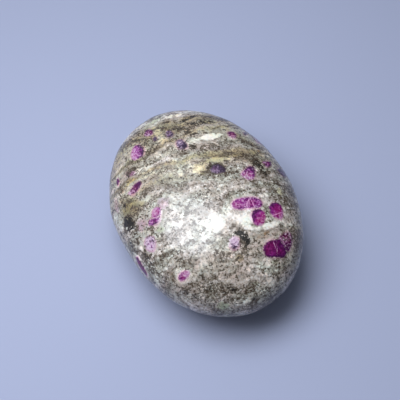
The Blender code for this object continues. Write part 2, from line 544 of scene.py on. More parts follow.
        (((122, 200), (136, 211)), 6.0, 0.4, 5.0),
    ),
    Mineral.BLUSH: (
        # At the upper end.
        (((160, 143), (166, 139)), 3.0, 0.9, 1.6),
        # Level with the stained seam.
        (((124, 176), (131, 171), (137, 167)), 3.5, 0.9, 2.0),
        # Below the middle.
        (((205, 262), (230, 262), (255, 270)), 8.0, 0.6, 6.0),
        # At the lower end.
        (((256, 294), (262, 293)), 1.2, 0.8),
    ),
    Mineral.SMOKE: (
        # Along the rim.
        # Painted shade: this smoky strip darkens and evens the right rim, where the light falls off.
        (((288, 186), (297, 213), (299.5, 238), (295.5, 264), (282, 289)), 3.0, 0.35, 3.0),
        (((128, 242), (130, 249), (132, 256)), 2.0, 1.0, 0.9), (((164, 288), (171, 291)), 1.6, 0.8, 0.9),
        # Level with the stained seam.
        (((137, 172.7), (151.5, 167), (162.5, 161.3), (174, 157)), 1.8, 0.2, 1.2),
        # Across the middle.
        (((200, 206), (206, 218)), 4.0, 0.5, 3.0),
    ),
}

BANDS = (
    Band(Mineral.FELDSPAR, -27.0, 2.4, 0.28),
    Band(Mineral.OLIVE, -21.5, 5.0, 0.70),
    Band(Mineral.MICA, -21.0, 4.5, 0.30),
    Band(Mineral.OCHRE, -18.0, 12.0, 0.30),
    Band(Mineral.OLIVE, -16.8, 2.2, 0.60),
    Band(Mineral.MICA, -16.8, 2.0, 0.35),
    Band(Mineral.BLUSH, -11.5, 3.0, 0.50),
    Band(Mineral.MICA, -11.0, 3.0, 0.22),
    Band(Mineral.OLIVE, -8.3, 2.2, 0.75),
    Band(Mineral.OCHRE, -6.0, 7.0, 0.25),
    Band(Mineral.CREAM, -6.4, 1.8, 0.20),
    Band(Mineral.OLIVE, -3.5, 3.5, 0.35),
    Band(Mineral.FELDSPAR, 12.5, 3.6, 0.30),
    Band(Mineral.BLUSH, 20.0, 7.0, 0.55),
    Band(Mineral.MICA, 29.8, 3.0, 0.42),
)


@dataclass(frozen=True)
class StoneForm:
    """The stone's form, in millimetres: a flattened oval, fuller than an ellipsoid and unevenly ground."""

    length: float  # along X
    width: float  # along Y
    height: float  # along Z, as it stands
    spot_depth: float = 0.3  # how much the resting spot takes off underneath
    crown_fullness: float = 0.08  # how far the upper shoulders bulge beyond an ellipse
    base_fullness: float = 0.12  # the same for the lower side
    end_taper: float = 0.007  # how much the +X end is broader than the middle
    hollow_towards: Triple = (0.15, -1.0, -0.05)  # direction from the middle to the shallow hollow
    hollow_depth: float = 0.44  # how deep it is
    hollow_reach: float = 0.33  # how far it spreads, on a unit sphere
    ridge_towards: Triple = (-0.30, -0.96, 0.05)  # direction to the slight ridge beside it
    ridge_height: float = 0.28  # how high it stands
    ridge_reach: float = 0.10  # how far it spreads, on a unit sphere

    def full_height(self) -> float:
        """Returns the height before the resting spot was ground off."""
        return self.height + self.spot_depth

    def middle(self) -> Array:
        """Returns the point that the form is drawn around."""
        return np.array([0.0, 0.0, self.full_height() / 2 - self.spot_depth])

    def closeness(self, directions: Array, towards: Triple, reach: float) -> Array:
        """Falls from 1 towards a place on the skin to 0 away from it.

        Args:
            directions: Unit directions from the middle.
            towards: The place's direction.
            reach: How far it spreads, on a unit sphere.

        Returns:
            One number for each direction.
        """
        distance = np.linalg.norm(directions - unit(np.array(towards)), axis=-1) / reach
        return 2.0 ** (-(distance**2))

    def skin(self, directions: Array) -> Array:
        """Finds the ground skin.

        Args:
            directions: Unit directions from the middle.

        Returns:
            The skin's point in each direction, before the resting spot is cut.
        """
        along, across, up = directions.T
        mean_fullness = (self.crown_fullness + self.base_fullness) / 2
        fullness = mean_fullness + (self.crown_fullness - self.base_fullness) / 2 * up
        points = np.stack(
            [
                along,
                across * (1.0 + self.end_taper * along),
                up * (1.0 + fullness * (1.0 - up**2)),
            ],
            axis=-1,
        )
        size = np.array([self.length, self.width, self.full_height()])
        points = points * size / 2
        outwards = self.ridge_height * self.closeness(directions, self.ridge_towards, self.ridge_reach)
        inwards = self.hollow_depth * self.closeness(directions, self.hollow_towards, self.hollow_reach)
        points = points + directions * (outwards - inwards)[:, None]
        low = points.min(axis=0)
        high = points.max(axis=0)
        return (points - (low + high) / 2) * size / (high - low) + self.middle()


@dataclass(frozen=True)
class PhotoCamera:
    """The camera that the photograph was taken with, as far as the picture tells."""

    middle: Triple  # the stone's middle, in millimetres
    heading: float = 62.66  # where it stands, in degrees around the stone from -Y towards +X
    elevation: float = 60.4  # how far it looks down, in degrees
    focal: float = 930.0  # its focal length, in picture pixels
    distance: float = 255.4  # from the stone's middle along the view, in millimetres
    aside: float = -1.49  # how far the stone's middle is left of the view's axis, in millimetres
    above: float = 2.48  # how far the stone's middle is below the view's axis, in millimetres
    picture: float = 400.0  # the picture's width and height, in pixels
    stone_centre: Pixel = (206.0, 213.0)  # the pixel in the middle of the stone's outline
    sensor: float = 36.0  # the sensor's width, in millimetres
    clip: Pair = (0.01, 20.0)  # the nearest and the farthest that it sees, in metres

    def axes(self) -> Array:
        """Finds which way the camera looks.

        Returns:
            The directions right, up and forward in the picture, as three rows.
        """
        heading = math.radians(self.heading)
        elevation = math.radians(self.elevation)
        right = np.array([math.cos(heading), math.sin(heading), 0.0])
        away = np.array([-math.sin(heading), math.cos(heading), 0.0])
        lift = np.array([0.0, 0.0, 1.0])
        up = away * math.sin(elevation) + lift * math.cos(elevation)
        forward = away * math.cos(elevation) - lift * math.sin(elevation)
        return np.array([right, up, forward])

    def eye(self) -> Array:
        """Returns the lens's place, in millimetres."""
        right, up, forward = self.axes()
        return np.array(self.middle) + self.aside * right + self.above * up - self.distance * forward

    def ray(self, pixel: Pixel) -> Array:
        """Finds the way to a pixel.

        Args:
            pixel: The pixel.

        Returns:
            The unit direction in which the lens sees it.
        """
        right, up, forward = self.axes()
        half = self.picture / 2
        return unit(forward + (pixel[0] - half) / self.focal * right - (pixel[1] - half) / self.focal * up)

    def build(self) -> bpy.types.Object:
        """Makes the scene's camera.

        Returns:
            The camera object.
        """
        data = bpy.data.cameras.new("photo_camera")
        data.sensor_width = self.sensor
        data.lens = self.focal / self.picture * self.sensor
        data.clip_start, data.clip_end = self.clip
        camera = bpy.data.objects.new("photo_camera", data)
        right, up, forward = self.axes()
        turn = Matrix((right, up, -forward)).transposed().to_4x4()
        camera.matrix_world = Matrix.Translation(Vector(self.eye() * MM)) @ turn
        bpy.context.scene.collection.objects.link(camera)
        bpy.context.scene.camera = camera
        return camera


@dataclass
class SkinGrid:
    """A closed grid of quads drawn onto the stone's form."""

    form: StoneForm  # the form it follows
    cuts: tuple[int, int, int] = (165, 123, 94)  # how many quads there are along X, Y and Z
    margin: int = 3  # the gap between the islands of its map, in quads
    straight: float = 1e-6  # edges of the cube that run less than this along an axis stand across it

    def build(self) -> bpy.types.Mesh:
        """Makes the mesh, in metres, with its map of six islands.

        Returns:
            The mesh.
        """
        grid = bmesh.new()
        bmesh.ops.create_cube(grid, size=2.0)
        for axis, cuts in enumerate(self.cuts):
            rises = [(edge, (edge.verts[1].co - edge.verts[0].co)[axis]) for edge in grid.edges]
            runs_along = [edge for edge, rise in rises if abs(rise) > self.straight]
            bmesh.ops.subdivide_edges(grid, edges=runs_along, cuts=cuts - 1, use_grid_fill=True)
        self.lay_out_map(grid)
        mesh = bpy.data.meshes.new(NODE)
        grid.to_mesh(mesh)
        grid.free()
        directions = self.even_directions(read_points(mesh))
        write_points(mesh, self.form.skin(directions))
        mesh.shade_smooth()
        return mesh

    def even_directions(self, corners: Array) -> Array:
        """Turns points on the cube into unit directions with even angles between them.

        Args:
            corners: Points on the cube's skin.

        Returns:
            Unit directions.
        """
        return unit(np.tan(corners * math.pi / 4))

    def lay_out_map(self, grid: bmesh.types.BMesh) -> None:
        """Gives each face of the cube an island of its own in the unit square, to one scale.

        Args:
            grid: The divided cube.
        """
        along, across, up = self.cuts
        gap = self.margin
        rows = {2: gap, 1: across + 2 * gap, 0: across + up + 3 * gap}
        side = max(2 * along + 3 * gap, across + 2 * up + 4 * gap)
        flat = {2: (0, 1), 1: (0, 2), 0: (1, 2)}
        layer = grid.loops.layers.uv.new("OFBake")
        for face in grid.faces:
            axis = max(range(3), key=lambda one: abs(face.normal[one]))
            first, second = flat[axis]
            width = self.cuts[first]
            start = gap if face.normal[axis] > 0 else width + 2 * gap
            for loop in face.loops:
                spot = loop.vert.co
                across_map = start + (spot[first] + 1) / 2 * width
                up_map = rows[axis] + (spot[second] + 1) / 2 * self.cuts[second]
                loop[layer].uv = (across_map / side, up_map / side)


def read_points(mesh: bpy.types.Mesh) -> Array:
    """Reads a mesh's points.

    Args:
        mesh: The mesh.

    Returns:
        The points as they are stored.
    """
    points = np.empty(len(mesh.vertices) * 3, np.float32)
    mesh.vertices.foreach_get("co", points)
    return points.reshape(-1, 3).astype(float)


def write_points(mesh: bpy.types.Mesh, points: Array) -> None:
    """Moves the mesh's points.

    Args:
        mesh: The mesh.
        points: Its new points, in millimetres.
    """
    mesh.vertices.foreach_set("co", (points * MM).astype(np.float32).ravel())
    mesh.update()


def read_normals(mesh: bpy.types.Mesh) -> Array:
    """Reads a mesh's normals.

    Args:
        mesh: The mesh.

    Returns:
        One unit normal for each point.
    """
    normals = np.empty(len(mesh.vertices) * 3, np.float32)
    mesh.vertex_normals.foreach_get("vector", normals)
    return normals.reshape(-1, 3).astype(float)


@dataclass(frozen=True)
class Parting:
    """A crack in a ruby, on the ruby's own flat map."""

    start: Array  # where it begins
    along: Array  # unit direction in which it runs
    length: float  # how long it is, in millimetres
    closing: float = 2.0  # how fast it tapers out beyond its ends

    def distance(self, spots: Array) -> Array:
        """Measures how far places are from the crack.

        Args:
            spots: Places on the map.

        Returns:
            Distances, negative on one side; beyond its ends they grow fast, so that it tapers out.
        """
        offset = spots - self.start
        ahead = offset @ self.along
        aside = offset[:, 0] * self.along[1] - offset[:, 1] * self.along[0]
        beyond = np.maximum(-ahead, 0.0) + np.maximum(ahead - self.length, 0.0)
        return aside + np.where(aside < 0.0, -self.closing, self.closing) * beyond


@dataclass
class SeatedCrystal:
    """A ruby in its place on the skin, with a flat map of its own around its centre."""

    centre: Array  # its middle on the skin
    sideways: Array  # unit direction of its map's first axis
    upwards: Array  # unit direction of its map's second axis
    outward: Array  # unit direction out of the stone
    outline: Array  # its corners on the map
    tone: Array  # darkness, violet share and paleness
    shade: Array  # towards its darker side on the map; the length is how much it darkens
    halo: float  # how strong the pale rim around it is
    mottle: float  # how patchy its colour is
    blur: float  # how wide its edge is mixed with the rock
    partings: list[Parting]  # up to two cracks in it

    def size(self) -> float:
        """Returns the radius of the circle around its outline."""
        return float(np.linalg.norm(self.outline, axis=1).max())

    def on_map(self, points: Array) -> Array:
        """Returns where points lie on its flat map."""
        offset = points - self.centre
        return np.stack([offset @ self.sideways, offset @ self.upwards], axis=-1)


class Skin:
    """The stone's skin as points that can be found from a pixel or from a nearby point."""

    rim_step = 0.25  # how far a pixel beside the stone is moved at a time, in pixels

    def __init__(self, mesh: bpy.types.Mesh, camera: PhotoCamera) -> None:
        """Reads the mesh.

        Args:
            mesh: The stone's mesh, in metres.
            camera: The photograph's camera.
        """
        self.points = read_points(mesh) / MM
        self.normals = read_normals(mesh)
        self.camera = camera
        faces = [tuple(face.vertices) for face in mesh.polygons]
        self.tree = BVHTree.FromPolygons([Vector(point) for point in self.points], faces)

    def facing(self) -> Array:
        """Returns for each point the cosine between its normal and the way to the lens."""
        return (unit(self.camera.eye() - self.points) * self.normals).sum(axis=1)

    def seen_at(self, pixel: Pixel) -> Array:
        """Finds what the photograph shows at a pixel.

        Args:
            pixel: The pixel; one that just misses the stone is moved to its rim.

        Returns:
            The point on the skin.
        """
        eye = Vector(self.camera.eye())
        spot = np.array(pixel, float)
        centre = np.array(self.camera.stone_centre)
        while True:
            point = self.tree.ray_cast(eye, Vector(self.camera.ray(spot)))[0]
            if point is not None:
                return np.array(point)
            spot = spot + self.rim_step * unit(centre - spot)

    def nearest(self, place: Array) -> tuple[Array, Array]:
        """Returns the skin's point nearest to a place, and its normal."""
        point, normal, _, _ = self.tree.find_nearest(Vector(place))
        return np.array(point), np.array(normal)


@dataclass(frozen=True)
class Foliation:
    """The layering of the rock: almost flat sheets that stand across the stone's length."""

    lean: float = 6.6  # how far the sheets' normal turns from +X towards -Y, in degrees
    # Waves of the sheets: height, then waves per millimetre across, along and up, then phase.
    folds: tuple[tuple[float, float, float, float, float], ...] = (
        (0.55, 0.031, 0.095, 0.045, 0.6),
        (0.28, 0.070, 0.190, -0.110, 2.1),
        (0.16, -0.150, 0.310, 0.170, 4.4),
    )
    # Bends: how steep, about which place along the sheets, and their middle and reach across them.
    bends: tuple[tuple[float, float, float, float], ...] = ((-0.16, 0.0, -6.0, 8.0), (0.10, 6.0, -15.0, 5.0))
    wrap: float = 0.55  # how much the sheets bulge around a crystal
    wrap_shape: Triple = (1.0, 0.6, 0.6)  # how fast the bulge ends across, along and up the sheets
    wrap_reach: float = 1.5  # how far it goes, in radii of the crystal

    def axes(self) -> Array:
        """Finds how the sheets stand.

        Returns:
            The unit directions across, along and up the sheets, as three rows.
        """
        lean = math.radians(self.lean)
        across = (math.cos(lean), -math.sin(lean), 0.0)
        along = (math.sin(lean), math.cos(lean), 0.0)
        return np.array([across, along, (0.0, 0.0, 1.0)])

    def coordinates(self, points: Array, crystals: list[SeatedCrystal]) -> Array:
        """Finds where points lie in the layering.

        Args:
            points: Places in the stone.
            crystals: The rubies that the sheets bulge around.

        Returns:
            For each point, its place across, along and up the sheets, in millimetres.
        """
        place = points @ self.axes().T
        across, along, up = place.T
        bend = np.zeros(len(points))
        for slope, pivot, middle, reach in self.bends:
            bend = bend + slope * (along - pivot) * np.exp(-(((across - middle) / reach) ** 2))
        for height, by_across, by_along, by_up, phase in self.folds:
            turns = by_across * across + by_along * along + by_up * up
            bend = bend + height * np.sin(2 * math.pi * turns + phase)
        bulge = np.zeros(len(points))
        for crystal in crystals:
            offset = (points - crystal.centre) @ self.axes().T
            away = np.linalg.norm(offset * self.wrap_shape, axis=1) / (self.wrap_reach * crystal.size())
            bulge = bulge - offset[:, 0] * self.wrap * np.exp(-(away**2))
        return np.stack([across + bend + bulge, along, up], axis=-1)


@dataclass(frozen=True)
class HiddenRubies:
    """How the rubies of the hidden sides are drawn.

    A pair is a lowest and a highest value unless its note says otherwise.
    """

    count: int = 30  # how many there are
    seed: int = 27  # of the draw
    # How likely each ruby tone is, in the order of the tones.
    tone_odds: tuple[float, ...] = (0.18, 0.13, 0.05, 0.18, 0.08, 0.1, 0.1, 0.1, 0.08)
    facing: float = -0.03  # they sit where the skin's normal and the way to the lens have a lower cosine
    radius_log: Pair = (0.35, 0.38)  # mean and spread of the logarithm of their radius in millimetres
    radius: Pair = (0.8, 3.1)  # in millimetres
    stretch: Pair = (1.0, 1.9)  # their length over their width
    corners: tuple[int, int] = (6, 9)  # how many corners they have; the highest isn't reached
    corner_shift: float = 0.25  # how far a corner moves round the outline, in steps between corners
    corner_radius: Pair = (0.8, 1.12)  # how far out a corner is, in radii
    lean: float = 0.5  # the spread of their turn off the layering, in radians
    shade: Pair = (0.1, 0.5)  # how much they darken to one side
    parting_odds: float = 0.35  # how likely a crack is
    parting_offset: float = 0.3  # how far a crack runs beside the middle, in millimetres
    parting_length: float = 1.2  # how long a crack is, in radii
    halo: Pair = (0.2, 1.0)  # how strong the pale rim is
    mottle: Pair = (0.1, 0.5)  # how patchy the colour is, before the tone's paleness is added
    blur: Pair = (0.08, 0.2)  # how wide the edge is, in millimetres, before the next is added
    pale_blur: float = 0.3  # how much of the tone's paleness is added to it
    gap: float = 0.4  # the least room between two rubies, in millimetres
    large: float = 2.0  # rubies over this radius, in millimetres, may have small ones in their rim
    large_gap: float = 1.0  # how far outside their radius those begin, in millimetres


class CrystalSetter:
    """Sets rubies into the skin: the ones in the photograph, and others on the hidden sides."""

    hidden = HiddenRubies()
    nearly_along = 0.9  # the cosine from which a normal runs along the layering
    shade_step = 2.0  # how far a shade's direction is followed in the picture, in pixels

    def __init__(self, skin: Skin, foliation: Foliation) -> None:
        """Keeps the skin and the layering.

        Args:
            skin: The stone's skin.
            foliation: The rock's layering, which the hidden crystals lean along.
        """
        self.skin = skin
        self.foliation = foliation

    def map_axes(self, normal: Array) -> tuple[Array, Array]:
        """Lays a flat map on the skin.

        Args:
            normal: The skin's normal.

        Returns:
            The map's two unit directions; the first runs along the layering.
        """
        along = self.foliation.axes()[1]
        if abs(normal @ along) > self.nearly_along:
            along = self.foliation.axes()[2]
        sideways = unit(along - (along @ normal) * normal)
        return sideways, np.cross(normal, sideways)

    def seat(self, crystal: Crystal) -> SeatedCrystal:
        """Casts one ruby of the photograph onto the skin.

        Args:
            crystal: The ruby, by picture pixels.

        Returns:
            The ruby in its place.
        """
        corners = np.array([self.skin.seen_at(pixel) for pixel in crystal.outline])
        centre, normal = self.skin.nearest(corners.mean(axis=0))
        sideways, upwards = self.map_axes(normal)
        LOG.debug("ruby %s: %s", crystal.place, crystal.tone.name)
        seated = SeatedCrystal(
            centre,
            sideways,
            upwards,
            normal,
            corners,
            np.array(crystal.tone.value),
            np.zeros(2),
            crystal.halo,
            crystal.mottle,
            crystal.blur,
            [],
        )
        seated.outline = seated.on_map(corners)
        strength = math.hypot(*crystal.shade)
        if strength > 0.0:
            middle = np.mean(crystal.outline, axis=0)
            step = self.shade_step * np.array(crystal.shade) / strength
            ahead = seated.on_map(self.skin.seen_at(tuple(middle + step)))
            behind = seated.on_map(self.skin.seen_at(tuple(middle)))
            seated.shade = strength * unit(ahead - behind)
        for start, end in crystal.partings:
            first = seated.on_map(self.skin.seen_at(start))
            run = seated.on_map(self.skin.seen_at(end)) - first
            seated.partings.append(Parting(first, unit(run), float(np.linalg.norm(run))))
        return seated

    def draw(self, centre: Array, normal: Array, chance: np.random.Generator) -> SeatedCrystal:
        """Draws one ruby for the hidden sides.

        Args:
            centre: Where it sits.
            normal: The skin's normal there.
            chance: The seeded source of its shape and tone.

        Returns:
            The ruby in its place.
        """
        hidden = self.hidden
        sideways, upwards = self.map_axes(normal)
        radius = float(np.clip(chance.lognormal(*hidden.radius_log), *hidden.radius))
        stretch = chance.uniform(*hidden.stretch)
        corners = int(chance.integers(*hidden.corners))
        shifts = chance.uniform(-hidden.corner_shift, hidden.corner_shift, corners)
        angles = (np.arange(corners) + shifts) * 2 * math.pi / corners
        radii = radius * chance.uniform(*hidden.corner_radius, corners)
        root = math.sqrt(stretch)
        outline = np.stack([np.cos(angles) * root, np.sin(angles) / root], axis=-1)
        lean = chance.normal(0.0, hidden.lean)
        turn = np.array([[math.cos(lean), math.sin(lean)], [-math.sin(lean), math.cos(lean)]])
        tones = list(RubyTone)
        tone = tones[int(chance.choice(len(tones), p=hidden.tone_odds))]
        heading = chance.uniform(0.0, 2 * math.pi)
        shade = chance.uniform(*hidden.shade) * np.array([math.cos(heading), math.sin(heading)])
        partings = []
        if chance.random() < hidden.parting_odds:
            slant = chance.uniform(0.0, math.pi)
            along = np.array([math.cos(slant), math.sin(slant)])
            offset = chance.uniform(-hidden.parting_offset, hidden.parting_offset, 2)
            length = hidden.parting_length * radius
            partings.append(Parting(offset - length / 2 * along, along, length))
        return SeatedCrystal(
            centre,
            sideways,
            upwards,
            normal,
            (outline * radii[:, None]) @ turn,
            np.array(tone.value),
            shade,
            float(chance.uniform(*hidden.halo)),
            float(chance.uniform(*hidden.mottle)) + tone.value[2],
            float(chance.uniform(*hidden.blur)) + hidden.pale_blur * tone.value[2],
            partings,
        )

    def scatter(self, shown: list[SeatedCrystal]) -> list[SeatedCrystal]:
        """Draws the rubies of the hidden sides.

        Args:
            shown: The rubies that are already seated.

        Returns:
            The new rubies, which keep clear of each other and of the shown ones.
        """
        chance = np.random.default_rng(self.hidden.seed)
        places = np.flatnonzero(self.skin.facing() < self.hidden.facing)
        drawn: list[SeatedCrystal] = []
        while len(drawn) < self.hidden.count:
            index = int(chance.choice(places))
            crystal = self.draw(self.skin.points[index], self.skin.normals[index], chance)
            if all(self.keeps_clear(crystal, other) for other in shown + drawn):
                drawn.append(crystal)
        return drawn

    def keeps_clear(self, crystal: SeatedCrystal, other: SeatedCrystal) -> bool:
        """Tells whether a new ruby has room beside another one.

        Args:
            crystal: The new ruby.
            other: The one that is already there.

        Returns:
            Whether they are far enough apart.
        """
        apart = np.linalg.norm(other.centre - crystal.centre)
        if apart > other.size() + crystal.size() + self.hidden.gap:
            return True
        return bool(other.size() > self.hidden.large and apart > other.size() + self.hidden.large_gap)


@dataclass(frozen=True)
class Relief:
    """How the polish stands off the ground form, in millimetres."""

    ruby_rise: float = 0.06  # how far the hard rubies stand out
    ruby_slope: float = 0.35  # over which distance from their edge they rise, on either side of it
    groove_depth: float = 0.03  # how deep the groove around them is
    groove_place: float = 0.45  # how far from their edge it runs
    groove_reach: float = 0.25  # how wide it is
    mica_depth: float = 0.04  # how far the soft mica lies lower
    mica_from: Pair = (0.4, 1.0)  # the least and the full amount of mica that does
    crack_depth: float = 0.03  # how deep the partings are
    crack_reach: float = 0.22  # how wide they are
    crack_from: Pair = (0.1, -0.2)  # where they begin and are full, from the ruby's edge
    wave_rise: float = 0.05  # how high the waves of the hand polish are

    def around_rubies(self, edge: Array) -> Array:
        """Works out the rubies' stand and the groove around them.

        Args:
            edge: Each point's distance from the nearest ruby's edge, negative inside.

        Returns:
            The height at each point.
        """
        rise = self.ruby_rise * smooth_step(edge, self.ruby_slope, -self.ruby_slope)
        groove = np.exp(-(((edge - self.groove_place) / self.groove_reach) ** 2))
        return rise - self.groove_depth * groove

    def at_crack(self, distance: Array, edge: Array) -> Array:
        """Works out how deep one set of partings is.

        Args:
            distance: Each point's distance from the parting.
            edge: Each point's distance from the nearest ruby's edge, negative inside.

        Returns:
            The depth at each point.
        """
        crack = np.exp(-((distance / self.crack_reach) ** 2))
        return self.crack_depth * crack * smooth_step(edge, *self.crack_from)

    def waves(self, points: Array) -> Array:
        """Works out the irregular waves that polishing by hand leaves, two sizes of them.

        Args:
            points: The skin's points.

        Returns:
            The height at each point.
        """
        across, along, up = points.T
        tight = np.sin(across / 1.9 + 0.6 * np.sin(along / 2.3)) * np.sin(along / 1.7 + 1.0 + up / 3.0)
        wide = np.sin(across / 3.3 + along / 4.1 + 0.5) * np.sin(along / 2.9 - up / 2.7)
        return self.wave_rise * tight + self.wave_rise * wide


class Markings:
    """Everything that varies over the skin, as numbers at its points, which the finish reads by name."""

    far = 4.0  # beyond this many millimetres from a ruby its edge isn't marked
    taper = 0.75  # how much narrower a streak is at its ends
    same_side = 0.2  # the least cosine between a ruby's normal and that of skin that it shows on
    shade_in_tone = (1.0, 0.5, -0.5)  # what a shade does to darkness, violet share and paleness
    pattern_gap = 7.3  # between the patterns of two rubies, in millimetres
    pixel_step = 5.0  # between the pixels of a streak that are cast onto the skin
    kept_in_feldspar = {Mineral.OLIVE: 0.15, Mineral.MICA: 0.3, Mineral.BLUSH: 0.2}  # the part that is kept

    def __init__(self, skin: Skin, foliation: Foliation, crystals: list[SeatedCrystal]) -> None:
        """Works out the layering and the rubies.

        Args:
            skin: The stone's skin.
            foliation: The rock's layering.
            crystals: All rubies, in their places.
        """
        count = len(skin.points)
        self.skin = skin
        self.strata = foliation.coordinates(skin.points, crystals)
        self.ruby_edge = np.full(count, self.far)
        self.ruby_look = np.tile((0.0, 1.0), (count, 1))
        self.ruby_tone = np.zeros((count, 3))
        self.ruby_place = np.zeros((count, 3))
        self.ruby_marks = np.full((count, 3), self.far)
        self.ruby_marks[:, 2] = 0.0
        self.minerals = {name: np.zeros((count, 3)) for name in sorted({kind.value[0] for kind in Mineral})}
        for number, crystal in enumerate(crystals):
            self.mark_crystal(crystal, number)

    def mark_crystal(self, crystal: SeatedCrystal, number: int) -> None:
        """Marks the skin in and around one ruby.

        Args:
            crystal: The ruby in its place.
            number: Its place in the list, which sets its pattern apart from the others'.
        """
        reach = crystal.size() + self.far
        near = np.linalg.norm(self.skin.points - crystal.centre, axis=1) < reach
        near &= self.skin.normals @ crystal.outward > self.same_side
        chosen = np.flatnonzero(near)
        spots = crystal.on_map(self.skin.points[chosen])
        edge = outline_distance(spots, crystal.outline)
        closer = edge < self.ruby_edge[chosen]
        chosen, spots, edge = chosen[closer], spots[closer], edge[closer]
        self.ruby_edge[chosen] = edge
        self.ruby_look[chosen] = (crystal.mottle, 1.0 / crystal.blur)
        lean = spots @ crystal.shade / crystal.size()
        self.ruby_tone[chosen] = crystal.tone + lean[:, None] * self.shade_in_tone
        self.ruby_place[chosen, :2] = spots
        self.ruby_place[chosen, 2] = self.pattern_gap * number
        for channel in range(2):
            if channel < len(crystal.partings):
                self.ruby_marks[chosen, channel] = crystal.partings[channel].distance(spots)
            else:
                self.ruby_marks[chosen, channel] = self.far
        self.ruby_marks[chosen, 2] = crystal.halo

    def lay(self, mineral: Mineral, amount: Array) -> None:
        """Adds a mineral where there is more of it than before.

        Args:
            mineral: The mineral.
            amount: How much of it there is at each point.
        """
        name, channel = mineral.value
        self.minerals[name][:, channel] = np.maximum(self.minerals[name][:, channel], amount)

    def lay_streak(self, mineral: Mineral, streak: Streak) -> None:
        """Lays one streak of the photograph.

        Args:
            mineral: What it is.
            streak: The streak, by picture pixels.
        """
        corners = np.array(streak.path, float)
        pixels = [corners[0]]
        for start, end in zip(corners[:-1], corners[1:]):
            steps = max(1, round(float(np.linalg.norm(end - start)) / self.pixel_step))
            pixels += [start + (end - start) * step / steps for step in range(1, steps + 1)]
        path = np.array([self.skin.seen_at(tuple(pixel)) for pixel in pixels])
        distance, along = path_distance(self.skin.points, path)
        half = streak.width / 2 * (1.0 - self.taper * along**2)
        self.lay(mineral, streak.strength * smooth_step(distance - half, streak.fade / 2, -streak.fade / 2))

    def lay_band(self, band: Band) -> None:
        """Lays one layer through the whole stone.

        Args:
            band: The layer.
        """
        offset = (self.strata[:, 0] - band.across) / (band.width / 2)
        self.lay(band.mineral, band.strength * np.exp(-(offset**2)))

    def settle(self) -> None:
        """Takes the stains and the mica out of the clean feldspar."""
        clean = self.minerals["pale_minerals"][:, :2].max(axis=1)
        for mineral, kept in self.kept_in_feldspar.items():
            name, channel = mineral.value
            self.minerals[name][:, channel] *= 1.0 - (1.0 - kept) * np.minimum(clean, 1.0)

    def relief(self) -> Array:
        """Works out how the polish stands off the ground form.

        Returns:
            The height at each point, in millimetres.
        """
        relief = Relief()
        mica = self.minerals["dark_minerals"][:, 0]
        height = relief.around_rubies(self.ruby_edge)
        height -= relief.mica_depth * smooth_step(mica, *relief.mica_from)
        for channel in range(2):
            height -= relief.at_crack(self.ruby_marks[:, channel], self.ruby_edge)
        return height + relief.waves(self.skin.points)

    def store(self, mesh: bpy.types.Mesh) -> None:
        """Writes the markings into the mesh.

        Args:
            mesh: The stone's mesh.
        """
        vectors = {
            "strata": self.strata,
            "ruby_form": np.column_stack([self.ruby_edge, self.ruby_look]),
            "ruby_tone": self.ruby_tone,
            "ruby_place": self.ruby_place,
            "ruby_marks": self.ruby_marks,
            **self.minerals,
        }
        for name, values in vectors.items():
            layer = mesh.attributes.new(name, "FLOAT_VECTOR", "POINT")
            layer.data.foreach_set("vector", values.astype(np.float32).ravel())


class Wire:
    """A value socket that takes part in Python arithmetic, each step adding one Math node."""

    def __init__(self, sheet: "NodeSheet", socket: bpy.types.NodeSocket) -> None:
        """Keeps the socket and the sheet that it is on."""
        self.sheet = sheet
        self.socket = socket

    def __add__(self, other: "Wire | float") -> "Wire":
        """Returns self + other."""
        return self.sheet.math("ADD", self, other)

    def __radd__(self, other: float) -> "Wire":
        """Returns other + self."""
        return self.sheet.math("ADD", other, self)

    def __sub__(self, other: "Wire | float") -> "Wire":
        """Returns self - other."""
        return self.sheet.math("SUBTRACT", self, other)

    def __rsub__(self, other: float) -> "Wire":
        """Returns other - self."""
        return self.sheet.math("SUBTRACT", other, self)

    def __mul__(self, other: "Wire | float") -> "Wire":
        """Returns self * other."""
        return self.sheet.math("MULTIPLY", self, other)

    def __abs__(self) -> "Wire":
        """Returns the value without its sign."""
        return self.sheet.math("ABSOLUTE", self)

    def ease(self, low: float, high: float) -> "Wire":
        """Eases the value from 0 to 1.

        Args:
            low: Where the result is 0.
            high: Where the result is 1; it may be below low.

        Returns:
            A value from 0 to 1.
        """
        node = self.sheet.node(
            "ShaderNodeMapRange",
            {"interpolation_type": "SMOOTHSTEP", "clamp": True},
            {"Value": self, "From Min": low, "From Max": high},
        )
        return Wire(self.sheet, node.outputs[0])


def swayed(start: "Wire | float", *patterns: tuple[Wire, float]) -> Wire:
    """Adds patterns that run from 0 to 1 to a value, each as far as it is off its middle.

    Args:
        start: The value.
        patterns: Each pattern and how much of it is added.

    Returns:
        The sum.
    """
    total = start
    for pattern, weight in patterns:
        total = total + (pattern - 0.5) * weight
    return total


@dataclass(frozen=True)
class Cloud:
    """How an irregular, cloudy pattern looks."""

    scale: float  # how fine it is, in cells to a millimetre
    detail: float = 2.0  # how many finer octaves it has
    roughness: float = 0.5  # how strong they are


